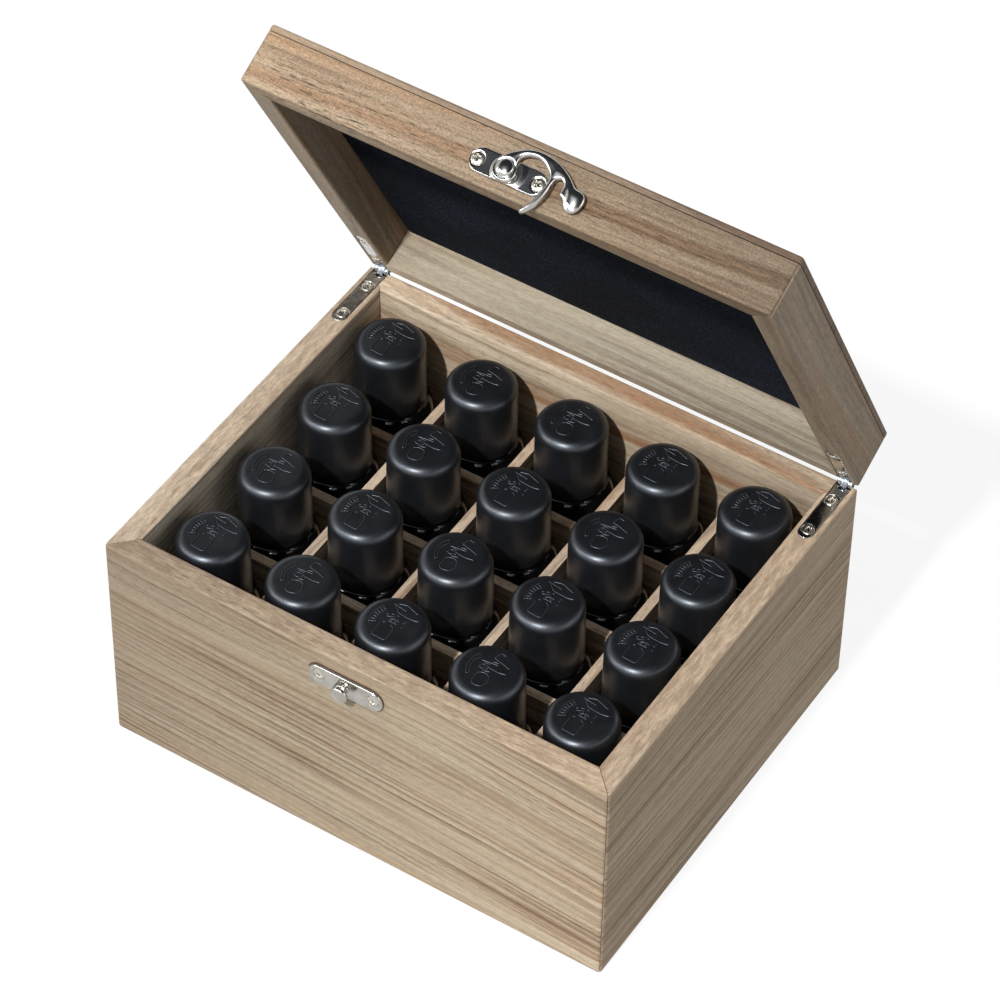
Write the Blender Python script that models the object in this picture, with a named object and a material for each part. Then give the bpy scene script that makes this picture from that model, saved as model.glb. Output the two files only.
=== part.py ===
# Wooden storage box for twenty small bottles, with a hinged lined lid and a hook latch.
# Metres, Z up, X to the right, Y to the back; the origin is the centre of the underside.
# The lid stands open as it does in use; closed, its rim lies one rim gap above the walls.

import math

import bmesh
import bpy
from mathutils import Matrix, Vector

# Fits
fit_gap = 0.0003  # between neighbours that touch
running_gap = 0.0001  # between pieces that turn or slide in each other
mitre_gap = 0.00014  # taken from each mitred end, along the piece
overrun = 0.002  # how far a cutter passes the face it enters through

# Walls and base
box_width = 0.185
box_depth = 0.151
wall_height = 0.087
wall_thickness = 0.0086
corner_radius = 0.0013
arris_radius = 0.0007
rear_chamfer = 0.0015
base_thickness = 0.004
base_rebate = 0.004

# Partition strips
strip_thickness = 0.0032
strip_top = 0.060
column_count = 5
row_count = 4
row_spread_share = 0.978  # the cross strips stand a little closer than evenly spaced

# Lid
lid_height = 0.020
lid_panel_thickness = 0.0022
lining_height = 0.013  # from the rim up to the lining's face
lining_edge_radius = 0.0015
rim_gap = 0.0004
lid_opening = math.radians(62.3)

# Hinges
hinge_inset = 0.0005  # pin axis inside the rear face
hinge_line = 0.0044  # leaf's middle from the outer face
leaf_width = 0.0052
leaf_thickness = 0.0014
leaf_length = 0.028  # rounded end to the pin axis
lower_leaf_end = 0.0043  # plate's rear end to the pin axis
block_width = 0.0022
block_radius = 0.00205
block_heel = 0.0025  # pin axis to the corner that stops the lid
stop_angle = math.radians(95)
ear_radius = 0.0019
upper_leaf_end = 0.00215
bridge_thickness = 0.0008
pin_radius = 0.0006
front_screw_place = 0.0239  # from the pin axis
rear_screw_place = 0.0091

# Screws
screw_head_radius = 0.0021
screw_head_edge = 0.0002
screw_shank_radius = 0.0010
screw_length = 0.0090
screw_sink = 0.00005
recess_length = 0.0024
recess_width = 0.0007
recess_depth = 0.0009
recess_end_share = 0.4  # of its length, at the bottom
recess_side_share = 0.6  # of its width, at the bottom

# Latch
latch_offset = -0.0013  # hook's pivot and catch, from the middle of the front
pivot_height = 0.0074  # above the lid's rim
catch_drop = 0.0096  # below the walls' rim
plate_thickness = 0.0008
plate_edge_radius = 0.0002
latch_plate_length = 0.0264
latch_plate_width = 0.0083
latch_plate_shift = 0.0005
latch_screw_spacing = 0.0211
boss_radius = 0.0044
boss_height = 0.0012
hook_back = 0.0014
hook_thickness = 0.0017
hook_edge_radius = 0.0004
slot_width = 0.0032
slot_end_turn = math.radians(6.5)  # where the slot ends, above the level of the pivot
slot_mouth_turn = math.radians(9)  # length of the thumb tab's side of the slot
finger_turn = math.radians(41)  # where the finger ends, below the level of the pivot
throat_turn = math.radians(1)  # where the finger meets the throat
arm_width = 0.0025
arm_tip_width = 0.0018
rivet_radius = 0.0015
rivet_head_radius = 0.0030
rivet_head_back = 0.0033
rivet_head_height = 0.0011
rivet_depth = 0.0040
catch_plate_length = 0.0274
catch_plate_width = 0.0085
catch_screw_spacing = 0.0200
neck_radius = 0.0014
button_radius = 0.00305
button_back = 0.0037
button_front = 0.0051
button_edge_radius = 0.0005

# Bottles
bottle_play = 0.0009  # round a bottle in the tightest cell
bottle_height = 0.0802
base_edge_radius = 0.0013
shoulder_height = 0.0492
cap_height = 0.0250
cap_edge_radius = 0.0028
neck_share = 0.75  # of the bottle's radius
cap_share = 0.849  # of the bottle's radius
cap_draft_share = 0.985  # of the cap's radius, at its top

# Followers of the sizes above
half_width = box_width / 2
half_depth = box_depth / 2
inner_half_width = half_width - wall_thickness
inner_half_depth = half_depth - wall_thickness
floor_level = base_thickness + fit_gap
hinge_y = half_depth - hinge_inset
hinge_z = wall_height + rim_gap / 2
rail_height = lid_height - lid_panel_thickness - fit_gap
hook_reach = catch_drop + rim_gap + pivot_height
slot_inner = hook_reach - slot_width / 2
slot_outer = hook_reach + slot_width / 2
lower_leaf_top = -rim_gap / 2
lower_leaf_bottom = lower_leaf_top - leaf_thickness
column_pitch = (inner_half_width * 2 + strip_thickness) / column_count
row_pitch = (inner_half_depth * 2 + strip_thickness) / row_count * row_spread_share
strip_columns = [(i - (column_count - 2) / 2) * column_pitch for i in range(column_count - 1)]
strip_rows = [(i - (row_count - 2) / 2) * row_pitch for i in range(row_count - 1)]
bottle_radius = (min(column_pitch, row_pitch) - strip_thickness) / 2 - bottle_play
cap_radius = bottle_radius * cap_share

# Where each bottle leans in its cell, as shares of the play to the right and to the back;
# the first row is the one at the front.
lean_shares = [
    [(0.1, -0.2), (0.06, -0.2), (-0.5, 0.0), (0.2, -0.3), (0.1, -0.2)],
    [(0.14, -0.8), (0.7, -0.75), (0.5, -0.5), (0.3, -0.3), (0.3, 0.0)],
    [(0.2, 0.1), (0.24, 0.3), (0.5, 0.1), (0.7, -0.2), (0.3, 0.0)],
    [(-1.0, 0.26), (0.05, 0.45), (-0.07, 0.95), (0.37, 0.45), (0.3, 0.4)],
]

# The hook's outline as shares of its reach, to the right and up from the pivot, in the
# order boss, back of the arm, thumb tab; then the throat from the finger back to the boss.
hook_back_shares = [
    (0.075, -0.241), (-0.105, -0.215), (-0.213, -0.103), (-0.230, 0.060),
    (-0.155, 0.212), (0.0, 0.350), (0.187, 0.464), (0.400, 0.520), (0.626, 0.513),
    (0.820, 0.470), (0.983, 0.400), (1.130, 0.315), (1.235, 0.232), (1.310, 0.184),
    (1.400, 0.172), (1.490, 0.140), (1.550, 0.060), (1.560, -0.060), (1.520, -0.180),
    (1.440, -0.255), (1.340, -0.260), (1.245, -0.190), (1.185, -0.090),
]
throat_shares = [
    (0.806, 0.060), (0.790, 0.150), (0.735, 0.238), (0.640, 0.318), (0.520, 0.372),
    (0.390, 0.386), (0.270, 0.355), (0.180, 0.285), (0.158, 0.190), (0.185, 0.090),
    (0.235, -0.020), (0.225, -0.130), (0.160, -0.205),
]


def clear_scene():
    for old in list(bpy.data.objects):
        bpy.data.objects.remove(old, do_unlink=True)


def make_material(name, colour, roughness, metallic=0.0):
    material = bpy.data.materials.new(name)
    material.use_nodes = True
    shader = material.node_tree.nodes["Principled BSDF"]
    shader.inputs["Base Color"].default_value = (*colour, 1.0)
    shader.inputs["Roughness"].default_value = roughness
    shader.inputs["Metallic"].default_value = metallic
    return material


def object_from(name, bm, material=None, parent=None, place=(0, 0, 0), smooth_angle=35):
    bmesh.ops.recalc_face_normals(bm, faces=bm.faces)
    mesh = bpy.data.meshes.new(name)
    bm.to_mesh(mesh)
    bm.free()
    mesh.shade_smooth()
    mesh.set_sharp_from_angle(angle=math.radians(smooth_angle))
    return place_mesh(name, mesh, material, parent, place)


def place_mesh(name, mesh, material=None, parent=None, place=(0, 0, 0)):
    item = bpy.data.objects.new(name, mesh)
    bpy.context.scene.collection.objects.link(item)
    item.location = place
    item.parent = parent
    if material and not mesh.materials:
        mesh.materials.append(material)
    return item


def as_cutter(item):
    item.hide_render = True
    item.display_type = "WIRE"
    return item


def combine(item, other, operation="DIFFERENCE"):
    boolean = item.modifiers.new(other.name, "BOOLEAN")
    boolean.operation = operation
    boolean.solver = "EXACT"
    boolean.object = other


def arc(centre, radius, start, end, steps):
    turns = [start + (end - start) * i / steps for i in range(steps + 1)]
    return [(centre[0] + radius * math.cos(a), centre[1] + radius * math.sin(a)) for a in turns]


def soften(corners, steps):
    """Rounds each (x, y, radius) corner of a closed outline with an arc that touches both sides."""
    outline = []
    for i, (x, y, radius) in enumerate(corners):
        corner = Vector((x, y))
        before = (Vector(corners[i - 1][:2]) - corner).normalized()
        after = (Vector(corners[(i + 1) % len(corners)][:2]) - corner).normalized()
        if not radius:
            outline.append((x, y))
            continue
        half = before.angle(after) / 2
        centre = corner + (before + after).normalized() * (radius / math.sin(half))
        first = corner + before * (radius / math.tan(half)) - centre
        sweep = before.angle_signed(after)
        sweep = math.copysign(math.pi - abs(sweep), sweep)
        start = math.atan2(first.y, first.x)
        outline += arc(centre, radius, start, start + sweep, steps)
    return outline


def smooth_curve(points, steps):
    """A closed curve through the points, each span shaped by its two neighbours."""
    curve = []
    count = len(points)
    for i in range(count):
        a, b, c, d = (Vector(points[(i + k) % count]) for k in (-1, 0, 1, 2))
        for k in range(steps):
            t = k / steps
            pull = b * 2 + (c - a) * t + (a * 2 - b * 5 + c * 4 - d) * t**2
            curve.append(tuple((pull + (b * 3 - a - c * 3 + d) * t**3) / 2))
    return curve


def extruded(outline, start, end, place):
    """A closed outline swept from start to end; place(u, v, w) gives the world point."""
    bm = bmesh.new()
    lower = [bm.verts.new(place(u, v, start)) for u, v in outline]
    face = bm.faces.new(lower)
    swept = bmesh.ops.extrude_face_region(bm, geom=[face])
    upper = [v for v in swept["geom"] if isinstance(v, bmesh.types.BMVert)]
    shift = Vector(place(0, 0, end)) - Vector(place(0, 0, start))
    bmesh.ops.translate(bm, verts=upper, vec=shift)
    return bm


def revolved(profile, segments, place=lambda r, h: (r, 0, h), axis=(0, 0, 1)):
    """A profile of (radius, height) points turned once round the axis, closed on it."""
    bm = bmesh.new()
    points = [bm.verts.new(place(r, h)) for r, h in profile]
    edges = [bm.edges.new(pair) for pair in zip(points, points[1:])]
    bmesh.ops.spin(bm, geom=points + edges, cent=(0, 0, 0), axis=axis,
                   angle=math.tau, steps=segments, use_duplicate=False)
    bmesh.ops.remove_doubles(bm, verts=bm.verts, dist=running_gap / 100)
    return bm


def stadium(length, width, steps):
    reach = (length - width) / 2
    right = arc((reach, 0), width / 2, -math.pi / 2, math.pi / 2, steps)
    return right + arc((-reach, 0), width / 2, math.pi / 2, math.pi * 3 / 2, steps)


def upright(u, v, w):
    return (u, v, w)


def facing_front(u, v, w):
    """Outlines drawn on the front: u to the right, v up, w out of the face."""
    return (u, -w, v)


def across(u, v, w):
    """Outlines drawn on the side: u to the back, v up, w to the right."""
    return (w, u, v)


# Frames of mitred boards

sides = ("front", "right", "back", "left")  # each a quarter turn on from the one before


def mitred_board(profile, side):
    """A board whose (inset, height) profile runs between two mitres round eased corners."""
    along, away = (half_width, half_depth) if side in ("front", "back") else (half_depth, half_width)
    corner_count = 2
    bm = bmesh.new()
    rings = []
    for end in (-1, 1):
        for step in range(corner_count + 1):
            turn = math.pi / 4 * step / corner_count
            turn = math.pi / 4 - turn if end < 0 else turn
            ring = []
            for inset, height in profile:
                radius = corner_radius - inset
                if radius > 0:
                    reach = along - corner_radius + radius * math.sin(turn)
                    depth = corner_radius - radius * math.cos(turn)
                else:
                    reach, depth = along - inset, inset
                u, v = end * (reach - mitre_gap), depth - away
                for _ in range(sides.index(side)):
                    u, v = -v, u
                ring.append(bm.verts.new((u, v, height)))
            rings.append(ring)
    for ring, following in zip(rings, rings[1:]):
        for i in range(len(profile)):
            bm.faces.new((ring[i - 1], ring[i], following[i], following[i - 1]))
    bm.faces.new(rings[0])
    bm.faces.new(rings[-1])
    bmesh.ops.remove_doubles(bm, verts=bm.verts, dist=mitre_gap / 100)
    return bm


def board(half_x, half_y, radius, layers):
    """A board with rounded corners; layers are (inset, height) pairs from its underside up."""
    bm = bmesh.new()
    corner_count = 3
    rings = []
    for inset, height in layers:
        bend = max(radius - inset, radius / 4)
        x, y = half_x - inset, half_y - inset
        corners = [(x, y, bend), (-x, y, bend), (-x, -y, bend), (x, -y, bend)]
        rings.append([bm.verts.new((*point, height)) for point in soften(corners, corner_count)])
    for ring, following in zip(rings, rings[1:]):
        for i in range(len(ring)):
            bm.faces.new((ring[i - 1], ring[i], following[i], following[i - 1]))
    bm.faces.new(rings[0])
    bm.faces.new(rings[-1])
    return bm


def wall_profile(side):
    outer_top = [(0, wall_height, arris_radius)]
    if side == "back":
        outer_top = [(0, wall_height - rear_chamfer, 0), (rear_chamfer, wall_height, 0)]
    corners = [(0, 0, arris_radius), *outer_top,
               (wall_thickness, wall_height, arris_radius),
               (wall_thickness, floor_level, 0),
               (wall_thickness - base_rebate, floor_level, 0),
               (wall_thickness - base_rebate, 0, 0)]
    return soften(corners, 2)


def rail_profile(side):
    outer_rim = [(0, 0, arris_radius)]
    if side == "back":
        outer_rim = [(rear_chamfer, 0, 0), (0, rear_chamfer, 0)]
    corners = [*outer_rim, (0, rail_height, 0), (wall_thickness, rail_height, 0),
               (wall_thickness, 0, arris_radius)]
    return soften(corners, 2)


def eased_layers(bottom, top, lower_radius, upper_radius, steps=2):
    lower = arc((lower_radius, bottom + lower_radius), lower_radius,
                math.pi * 3 / 2, math.pi, steps)
    upper = arc((upper_radius, top - upper_radius), upper_radius, math.pi, math.pi / 2, steps)
    return lower + upper


def rear_arris_cutter(name, height, upward, parent=None):
    """A long prism that takes the side boards' tips down to the back board's chamfer."""
    edge = upward * rear_chamfer
    out = upward * overrun
    outline = [(half_depth - rear_chamfer, height), (half_depth, height - edge),
               (half_depth + overrun, height - edge - out),
               (half_depth + overrun, height + out), (half_depth - rear_chamfer - overrun, height + out)]
    bm = extruded(outline, -half_width - overrun, half_width + overrun, across)
    return as_cutter(object_from(name, bm, parent=parent))


# Hinges, drawn round their own pin axis: u to the back, v up

def leaf_plan(end, grow=0.0):
    """Plan of a leaf from above: a rounded front end and a square rear end."""
    half = leaf_width / 2 + grow
    nose = arc((0, leaf_width / 2 - leaf_length), half, math.pi, math.tau, 8)
    return nose + [(half, -end), (-half, -end)]


def block_outline():
    """Side of the middle knuckle: round in front, with a flat that meets the other leaf's end
    when the lid has turned to its stop, and a bridge to the plate."""
    rise = math.pi - stop_angle
    heel_turn = rise - math.acos(block_radius / block_heel)
    heel = arc((0, 0), block_heel, heel_turn, heel_turn, 1)[:1]
    front = arc((0, 0), block_radius, math.pi, rise, 4)
    rear = arc((0, 0), block_radius, math.radians(12), math.radians(-78), 4)
    root = lower_leaf_end + leaf_thickness
    bottom = lower_leaf_bottom
    bridge_top = bottom + bridge_thickness
    plate = [(-root, bottom), (-root, bottom + bridge_thickness), (-block_radius, bridge_top)]
    return front + heel + rear + [(-block_radius / 2, bottom)] + plate


def ear_outline():
    """Side of the outer knuckles: an eye round the pin on an arm from the upper plate."""
    low, high = -lower_leaf_top, -lower_leaf_bottom
    rise = math.asin(high / ear_radius)
    fall = math.pi + math.asin(-low / ear_radius)
    eye = arc((0, 0), ear_radius, rise, -(math.tau - fall), 8)
    root = upper_leaf_end + leaf_thickness
    return eye + [(-root, low), (-root, high)]


def screw_profile(grow=0.0):
    head, shank = screw_head_radius + grow, screw_shank_radius + grow
    taper = screw_head_edge + screw_head_radius - screw_shank_radius
    tip = screw_length - screw_shank_radius
    return [(0, grow * 2), (head, grow * 2), (head, -screw_head_edge), (shank, -taper - grow / 2),
            (shank, -tip), (shank / 4, -screw_length - grow), (0, -screw_length - grow)]


def recess_bar(name, turn):
    """One bar of the cross recess, narrower as it goes down."""
    bm = bmesh.new()
    for vert in bmesh.ops.create_cube(bm, size=1)["verts"]:
        deep = vert.co.z < 0
        vert.co.x *= recess_length * (recess_end_share if deep else 1)
        vert.co.y *= recess_width * (recess_side_share if deep else 1)
        vert.co.z = -recess_depth if deep else overrun
    bmesh.ops.rotate(bm, verts=bm.verts, matrix=Matrix.Rotation(turn, 3, "Z"))
    return object_from(name, bm)


def screw_mesh():
    """One screw, the middle of its head's top at the origin, with the cross recess cut in."""
    body = object_from("screw_blank", revolved(screw_profile(), 12))
    bars = [recess_bar("recess_long", 0), recess_bar("recess_cross", math.pi / 2)]
    for bar in bars:
        combine(body, bar)
    return baked(body, bars)


def baked(item, helpers):
    """The mesh that an object's modifiers give, with the object and its helpers removed."""
    graph = bpy.context.evaluated_depsgraph_get()
    mesh = bpy.data.meshes.new_from_object(item.evaluated_get(graph))
    for old in (item, *helpers):
        bpy.data.objects.remove(old, do_unlink=True)
    mesh.set_sharp_from_angle(angle=math.radians(35))
    return mesh


def screw_hole(name, parent, place, turn):
    """A cutter that leaves a countersunk hole a running gap wider than the screw."""
    profile = screw_profile(running_gap)
    profile = [(0, overrun), (profile[1][0], overrun), *profile[1:]]
    cutter = as_cutter(object_from(name, revolved(profile, 12), parent=parent, place=place))
    cutter.rotation_euler = turn
    return cutter


def build_screw(name, mesh, material, parent, place, turn):
    screw = place_mesh(name, mesh, material, parent, place)
    screw.rotation_euler = turn
    return screw


# Assembly

def build_walls(wood):
    walls = {}
    for side in sides:
        bm = mitred_board(wall_profile(side), side)
        walls[side] = object_from(f"{side}_wall", bm, wood)
    cutter = rear_arris_cutter("wall_arris_cutter", wall_height, 1)
    for side in ("left", "right"):
        combine(walls[side], cutter)
    inset = wall_thickness - base_rebate + fit_gap
    layers = eased_layers(0, base_thickness, fit_gap, fit_gap, 1)
    bm = board(half_width - inset, half_depth - inset, corner_radius, layers)
    object_from("base_panel", bm, wood)
    return walls


def strip_outline(reach, crossings, from_top):
    """A strip on edge with a half-lap slot at each crossing."""
    middle = (floor_level + strip_top) / 2
    half = strip_thickness / 2 + running_gap
    open_edge, closed_edge = (strip_top, floor_level) if from_top else (floor_level, strip_top)
    depth = middle - running_gap if from_top else middle + running_gap
    outline = [(-reach, closed_edge), (reach, closed_edge), (reach, open_edge)]
    for centre in reversed(crossings):
        outline += [(centre + half, open_edge), (centre + half, depth),
                    (centre - half, depth), (centre - half, open_edge)]
    return [*outline, (-reach, open_edge)]


def build_strips(wood):
    half = strip_thickness / 2
    outline = strip_outline(inner_half_depth - fit_gap, strip_rows, True)
    for i, x in enumerate(strip_columns):
        bm = extruded(outline, -half, half, across)
        object_from(f"long_divider_{i + 1}", bm, wood, place=(x, 0, 0))
    outline = strip_outline(inner_half_width - fit_gap, strip_columns, False)
    for i, y in enumerate(strip_rows):
        bm = extruded(outline, -half, half, facing_front)
        object_from(f"cross_divider_{i + 1}", bm, wood, place=(0, y, 0))


def build_lid_pivot():
    pivot = bpy.data.objects.new("lid_pivot", None)
    bpy.context.scene.collection.objects.link(pivot)
    pivot.location = (0, hinge_y, hinge_z)
    pivot.rotation_euler = (-lid_opening, 0, 0)
    return pivot


def build_lid(wood, velvet, pivot):
    rim = (0, -hinge_y, rim_gap / 2)
    rails = {}
    for side in sides:
        bm = mitred_board(rail_profile(side), side)
        rails[side] = object_from(f"lid_{side}_rail", bm, wood, pivot, rim)
    cutter = rear_arris_cutter("rail_arris_cutter", 0, -1, pivot)
    cutter.location = rim
    for side in ("left", "right"):
        combine(rails[side], cutter)
    layers = eased_layers(lid_height - lid_panel_thickness, lid_height, fit_gap, arris_radius)
    bm = board(half_width, half_depth, corner_radius, layers)
    object_from("lid_panel", bm, wood, pivot, rim)
    inset = wall_thickness + fit_gap
    layers = eased_layers(lining_height, rail_height, lining_edge_radius, fit_gap)
    bm = board(half_width - inset, half_depth - inset, lining_edge_radius, layers)
    object_from("lid_lining", bm, velvet, pivot, rim)
    return rails


def build_lower_leaf(name, metal, place):
    """Plate let into the wall's rim, with the block that the pin passes through."""
    leaf_bm = extruded(leaf_plan(lower_leaf_end), lower_leaf_bottom, lower_leaf_top, upright)
    leaf = object_from(name, leaf_bm, metal, place=place)
    half = block_width / 2
    block = object_from(f"{name}_block", extruded(block_outline(), -half, half, across), place=place)
    combine(leaf, as_cutter(block), "UNION")
    return leaf


def build_upper_leaf(name, metal, pivot, place):
    """Plate let into the lid's rim, with two ears beside the block."""
    bottom, top = -lower_leaf_top, -lower_leaf_bottom
    leaf = object_from(name, extruded(leaf_plan(upper_leaf_end), bottom, top, upright),
                       metal, pivot, place)
    half = leaf_width / 2
    for ear_name, start, end in (("left", -half, -block_width / 2 - running_gap),
                                 ("right", block_width / 2 + running_gap, half)):
        bm = extruded(ear_outline(), start, end, across)
        ear = object_from(f"{name}_{ear_name}_ear", bm, parent=pivot, place=place)
        combine(leaf, as_cutter(ear), "UNION")
    return leaf


def pocket(name, plan, bottom, top, parent, place):
    return as_cutter(object_from(name, extruded(plan, bottom, top, upright), None, parent, place))


def knuckle_plan(end):
    half = leaf_width / 2 + fit_gap
    rear = wall_thickness
    return [(-half, -end), (half, -end), (half, rear), (-half, rear)]


def build_hinge(side, sign, metal, walls, rails, pivot, screw):
    x = sign * (half_width - hinge_line)
    on_box, on_lid = (x, hinge_y, hinge_z), (x, 0, 0)
    lower = build_lower_leaf(f"{side}_lower_leaf", metal, on_box)
    upper = build_upper_leaf(f"{side}_upper_leaf", metal, pivot, on_lid)
    half = leaf_width / 2 - running_gap
    pin = revolved([(0, -half), (pin_radius, -half), (pin_radius, half), (0, half)], 14)
    bmesh.ops.rotate(pin, verts=pin.verts, matrix=Matrix.Rotation(math.pi / 2, 3, "Y"))
    object_from(f"{side}_pin", pin, metal, place=on_box)

    bore = pin_radius + running_gap
    for leaf, parent, place in ((lower, None, on_box), (upper, pivot, on_lid)):
        bm = revolved([(0, -leaf_width), (bore, -leaf_width), (bore, leaf_width), (0, leaf_width)], 14)
        bmesh.ops.rotate(bm, verts=bm.verts, matrix=Matrix.Rotation(math.pi / 2, 3, "Y"))
        combine(leaf, as_cutter(object_from(f"{leaf.name}_bore", bm, None, parent, place)))

    # pockets in the box and in the lid
    deep = -ear_radius - fit_gap
    floor = lower_leaf_bottom - running_gap
    plan, ends = leaf_plan(0, fit_gap / 2), lower_leaf_end
    box_cutters = [pocket(f"{side}_wall_mortise", plan, floor, overrun, None, on_box),
                   pocket(f"{side}_wall_pocket", knuckle_plan(ends), deep, overrun, None, on_box)]
    tall = block_heel + fit_gap
    lid_cutters = [pocket(f"{side}_rail_mortise", plan, -overrun, -floor, pivot, on_lid),
                   pocket(f"{side}_rail_pocket", knuckle_plan(upper_leaf_end), -overrun, tall,
                          pivot, on_lid)]
    for cutter in box_cutters:
        combine(walls[side], cutter)
        combine(walls["back"], cutter)
    for cutter in lid_cutters:
        combine(rails[side], cutter)
        combine(rails["back"], cutter)

    for number, distance in enumerate((front_screw_place, rear_screw_place), 1):
        place = (x, hinge_y - distance, hinge_z + lower_leaf_top - screw_sink)
        hole = screw_hole(f"{side}_lower_hole_{number}", None, place, (0, 0, 0))
        combine(lower, hole)
        combine(walls[side], hole)
        build_screw(f"{side}_lower_screw_{number}", screw, metal, None, place, (0, 0, 0))
        place, turn = (x, -distance, -lower_leaf_top + screw_sink), (math.pi, 0, 0)
        hole = screw_hole(f"{side}_upper_hole_{number}", pivot, place, turn)
        combine(upper, hole)
        combine(rails[side], hole)
        build_screw(f"{side}_upper_screw_{number}", screw, metal, pivot, place, turn)


def plate_bm(length, width, thickness, edge):
    """A stadium plate on the front, its outer edge eased."""
    flat = stadium(length, width, 7)
    eased = stadium(length - edge * 2, width - edge * 2, 7)
    bm = bmesh.new()
    rings = [[bm.verts.new(facing_front(u, v, w)) for u, v in outline]
             for outline, w in ((flat, 0), (flat, thickness - edge), (eased, thickness))]
    for ring, following in zip(rings, rings[1:]):
        for i in range(len(ring)):
            bm.faces.new((ring[i - 1], ring[i], following[i], following[i - 1]))
    bm.faces.new(rings[0])
    bm.faces.new(rings[-1])
    return bm


def turned_out(profile, segments):
    """A profile of (radius, distance from the face) turned round the outward axis."""
    return revolved(profile, segments, lambda r, h: (r, -h, 0), (0, 1, 0))


def hook_outline():
    """Boss and arm from their shares; the slot by formula, round the pivot."""
    scaled = [(u * hook_reach, v * hook_reach) for u, v in hook_back_shares]
    middle, turn = hook_reach, slot_end_turn
    outer = arc((0, 0), slot_outer, turn - slot_mouth_turn, turn, 2)
    centre = (middle * math.cos(turn), middle * math.sin(turn))
    end = arc(centre, slot_width / 2, turn, turn + math.pi, 4)[1:-1]
    arm_outer = arc((0, 0), slot_inner, turn, -finger_turn, 6)
    tip = slot_inner - arm_tip_width / 2
    tip_centre = (tip * math.cos(finger_turn), -tip * math.sin(finger_turn))
    round_tip = arc(tip_centre, arm_tip_width / 2, -finger_turn, -finger_turn - math.pi, 3)[1:-1]
    arm_inner = []
    for step in range(4):
        share = step / 4
        radius = slot_inner - arm_tip_width - (arm_width - arm_tip_width) * share
        angle = -finger_turn + (finger_turn + throat_turn) * share
        arm_inner.append((radius * math.cos(angle), radius * math.sin(angle)))
    throat = [(u * hook_reach, v * hook_reach) for u, v in throat_shares]
    return smooth_curve(scaled + outer + end + arm_outer + round_tip + arm_inner + throat, 2)


def build_hook(name, metal, pivot, place):
    outline = hook_outline()
    bm = extruded(outline, hook_back, hook_back + hook_thickness, facing_front)
    hook = object_from(name, bm, metal, pivot, place)
    bevel = hook.modifiers.new("eased_edges", "BEVEL")
    bevel.width = hook_edge_radius
    bevel.segments = 1
    bevel.limit_method = "ANGLE"
    bevel.angle_limit = math.radians(60)
    bore = rivet_radius + running_gap
    bm = turned_out([(0, 0), (bore, 0), (bore, rivet_head_back), (0, rivet_head_back)], 20)
    combine(hook, as_cutter(object_from(f"{name}_bore", bm, None, pivot, place)))


def build_rivet(name, metal, pivot, place):
    dome = [(rivet_head_radius * math.cos(a), rivet_head_back + rivet_head_height * math.sin(a))
            for a in (math.pi / 2 * i / 5 for i in range(6))]
    dome[-1] = (0, rivet_head_back + rivet_head_height)
    profile = [(0, -rivet_depth), (rivet_radius, -rivet_depth), (rivet_radius, rivet_head_back)]
    object_from(name, turned_out(profile + dome, 20), metal, pivot, place)


def build_latch(metal, rails, pivot, screw):
    face = -half_depth - hinge_y
    height = rim_gap / 2 + pivot_height
    on_pivot = (latch_offset, face, height)
    middle = (latch_offset + latch_plate_shift, face - running_gap, height)
    bm = plate_bm(latch_plate_length, latch_plate_width, plate_thickness, plate_edge_radius)
    plate = object_from("latch_plate", bm, metal, pivot, middle)
    turn = (math.pi / 2, 0, 0)
    for number, sign in ((1, -1), (2, 1)):
        place = (middle[0] + sign * latch_screw_spacing / 2,
                 middle[1] - plate_thickness + screw_sink, height)
        hole = screw_hole(f"latch_hole_{number}", pivot, place, turn)
        combine(plate, hole)
        combine(rails["front"], hole)
        build_screw(f"latch_screw_{number}", screw, metal, pivot, place, turn)
    rise = boss_height - running_gap
    profile = [(0, plate_edge_radius), (boss_radius, plate_edge_radius),
               (boss_radius, rise - plate_edge_radius), (boss_radius - plate_edge_radius, rise),
               (0, rise)]
    place = (latch_offset, face - running_gap, height)
    boss = as_cutter(object_from("latch_boss", turned_out(profile, 20), None, pivot, place))
    combine(plate, boss, "UNION")
    bore = rivet_radius + running_gap
    depth = -rivet_depth - fit_gap
    profile = [(0, depth), (bore, depth), (bore, overrun), (0, overrun)]
    hole = as_cutter(object_from("rivet_hole", turned_out(profile, 20), None, pivot, on_pivot))
    combine(plate, hole)
    combine(rails["front"], hole)
    build_hook("latch_hook", metal, pivot, on_pivot)
    build_rivet("latch_rivet", metal, pivot, on_pivot)


def build_catch(metal, walls, screw):
    """Plate on the box's front with a necked button for the hook's slot."""
    middle = (latch_offset, -half_depth - running_gap, wall_height - catch_drop)
    bm = plate_bm(catch_plate_length, catch_plate_width, plate_thickness, plate_edge_radius)
    plate = object_from("catch_plate", bm, metal, place=middle)
    root, back, front = plate_thickness / 2, button_back, button_front
    edge = button_edge_radius
    rim = arc((button_radius - edge, front - edge), edge, 0, math.pi / 2, 3)
    profile = [(0, root), (neck_radius, root), (neck_radius, back), (button_radius, back), *rim,
               (0, front)]
    button = object_from("catch_button", turned_out(profile, 20), place=middle)
    combine(plate, as_cutter(button), "UNION")
    turn = (math.pi / 2, 0, 0)
    for number, sign in ((1, -1), (2, 1)):
        place = (middle[0] + sign * catch_screw_spacing / 2,
                 middle[1] - plate_thickness + screw_sink, middle[2])
        hole = screw_hole(f"catch_hole_{number}", None, place, turn)
        combine(plate, hole)
        combine(walls["front"], hole)
        build_screw(f"catch_screw_{number}", screw, metal, None, place, turn)


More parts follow.
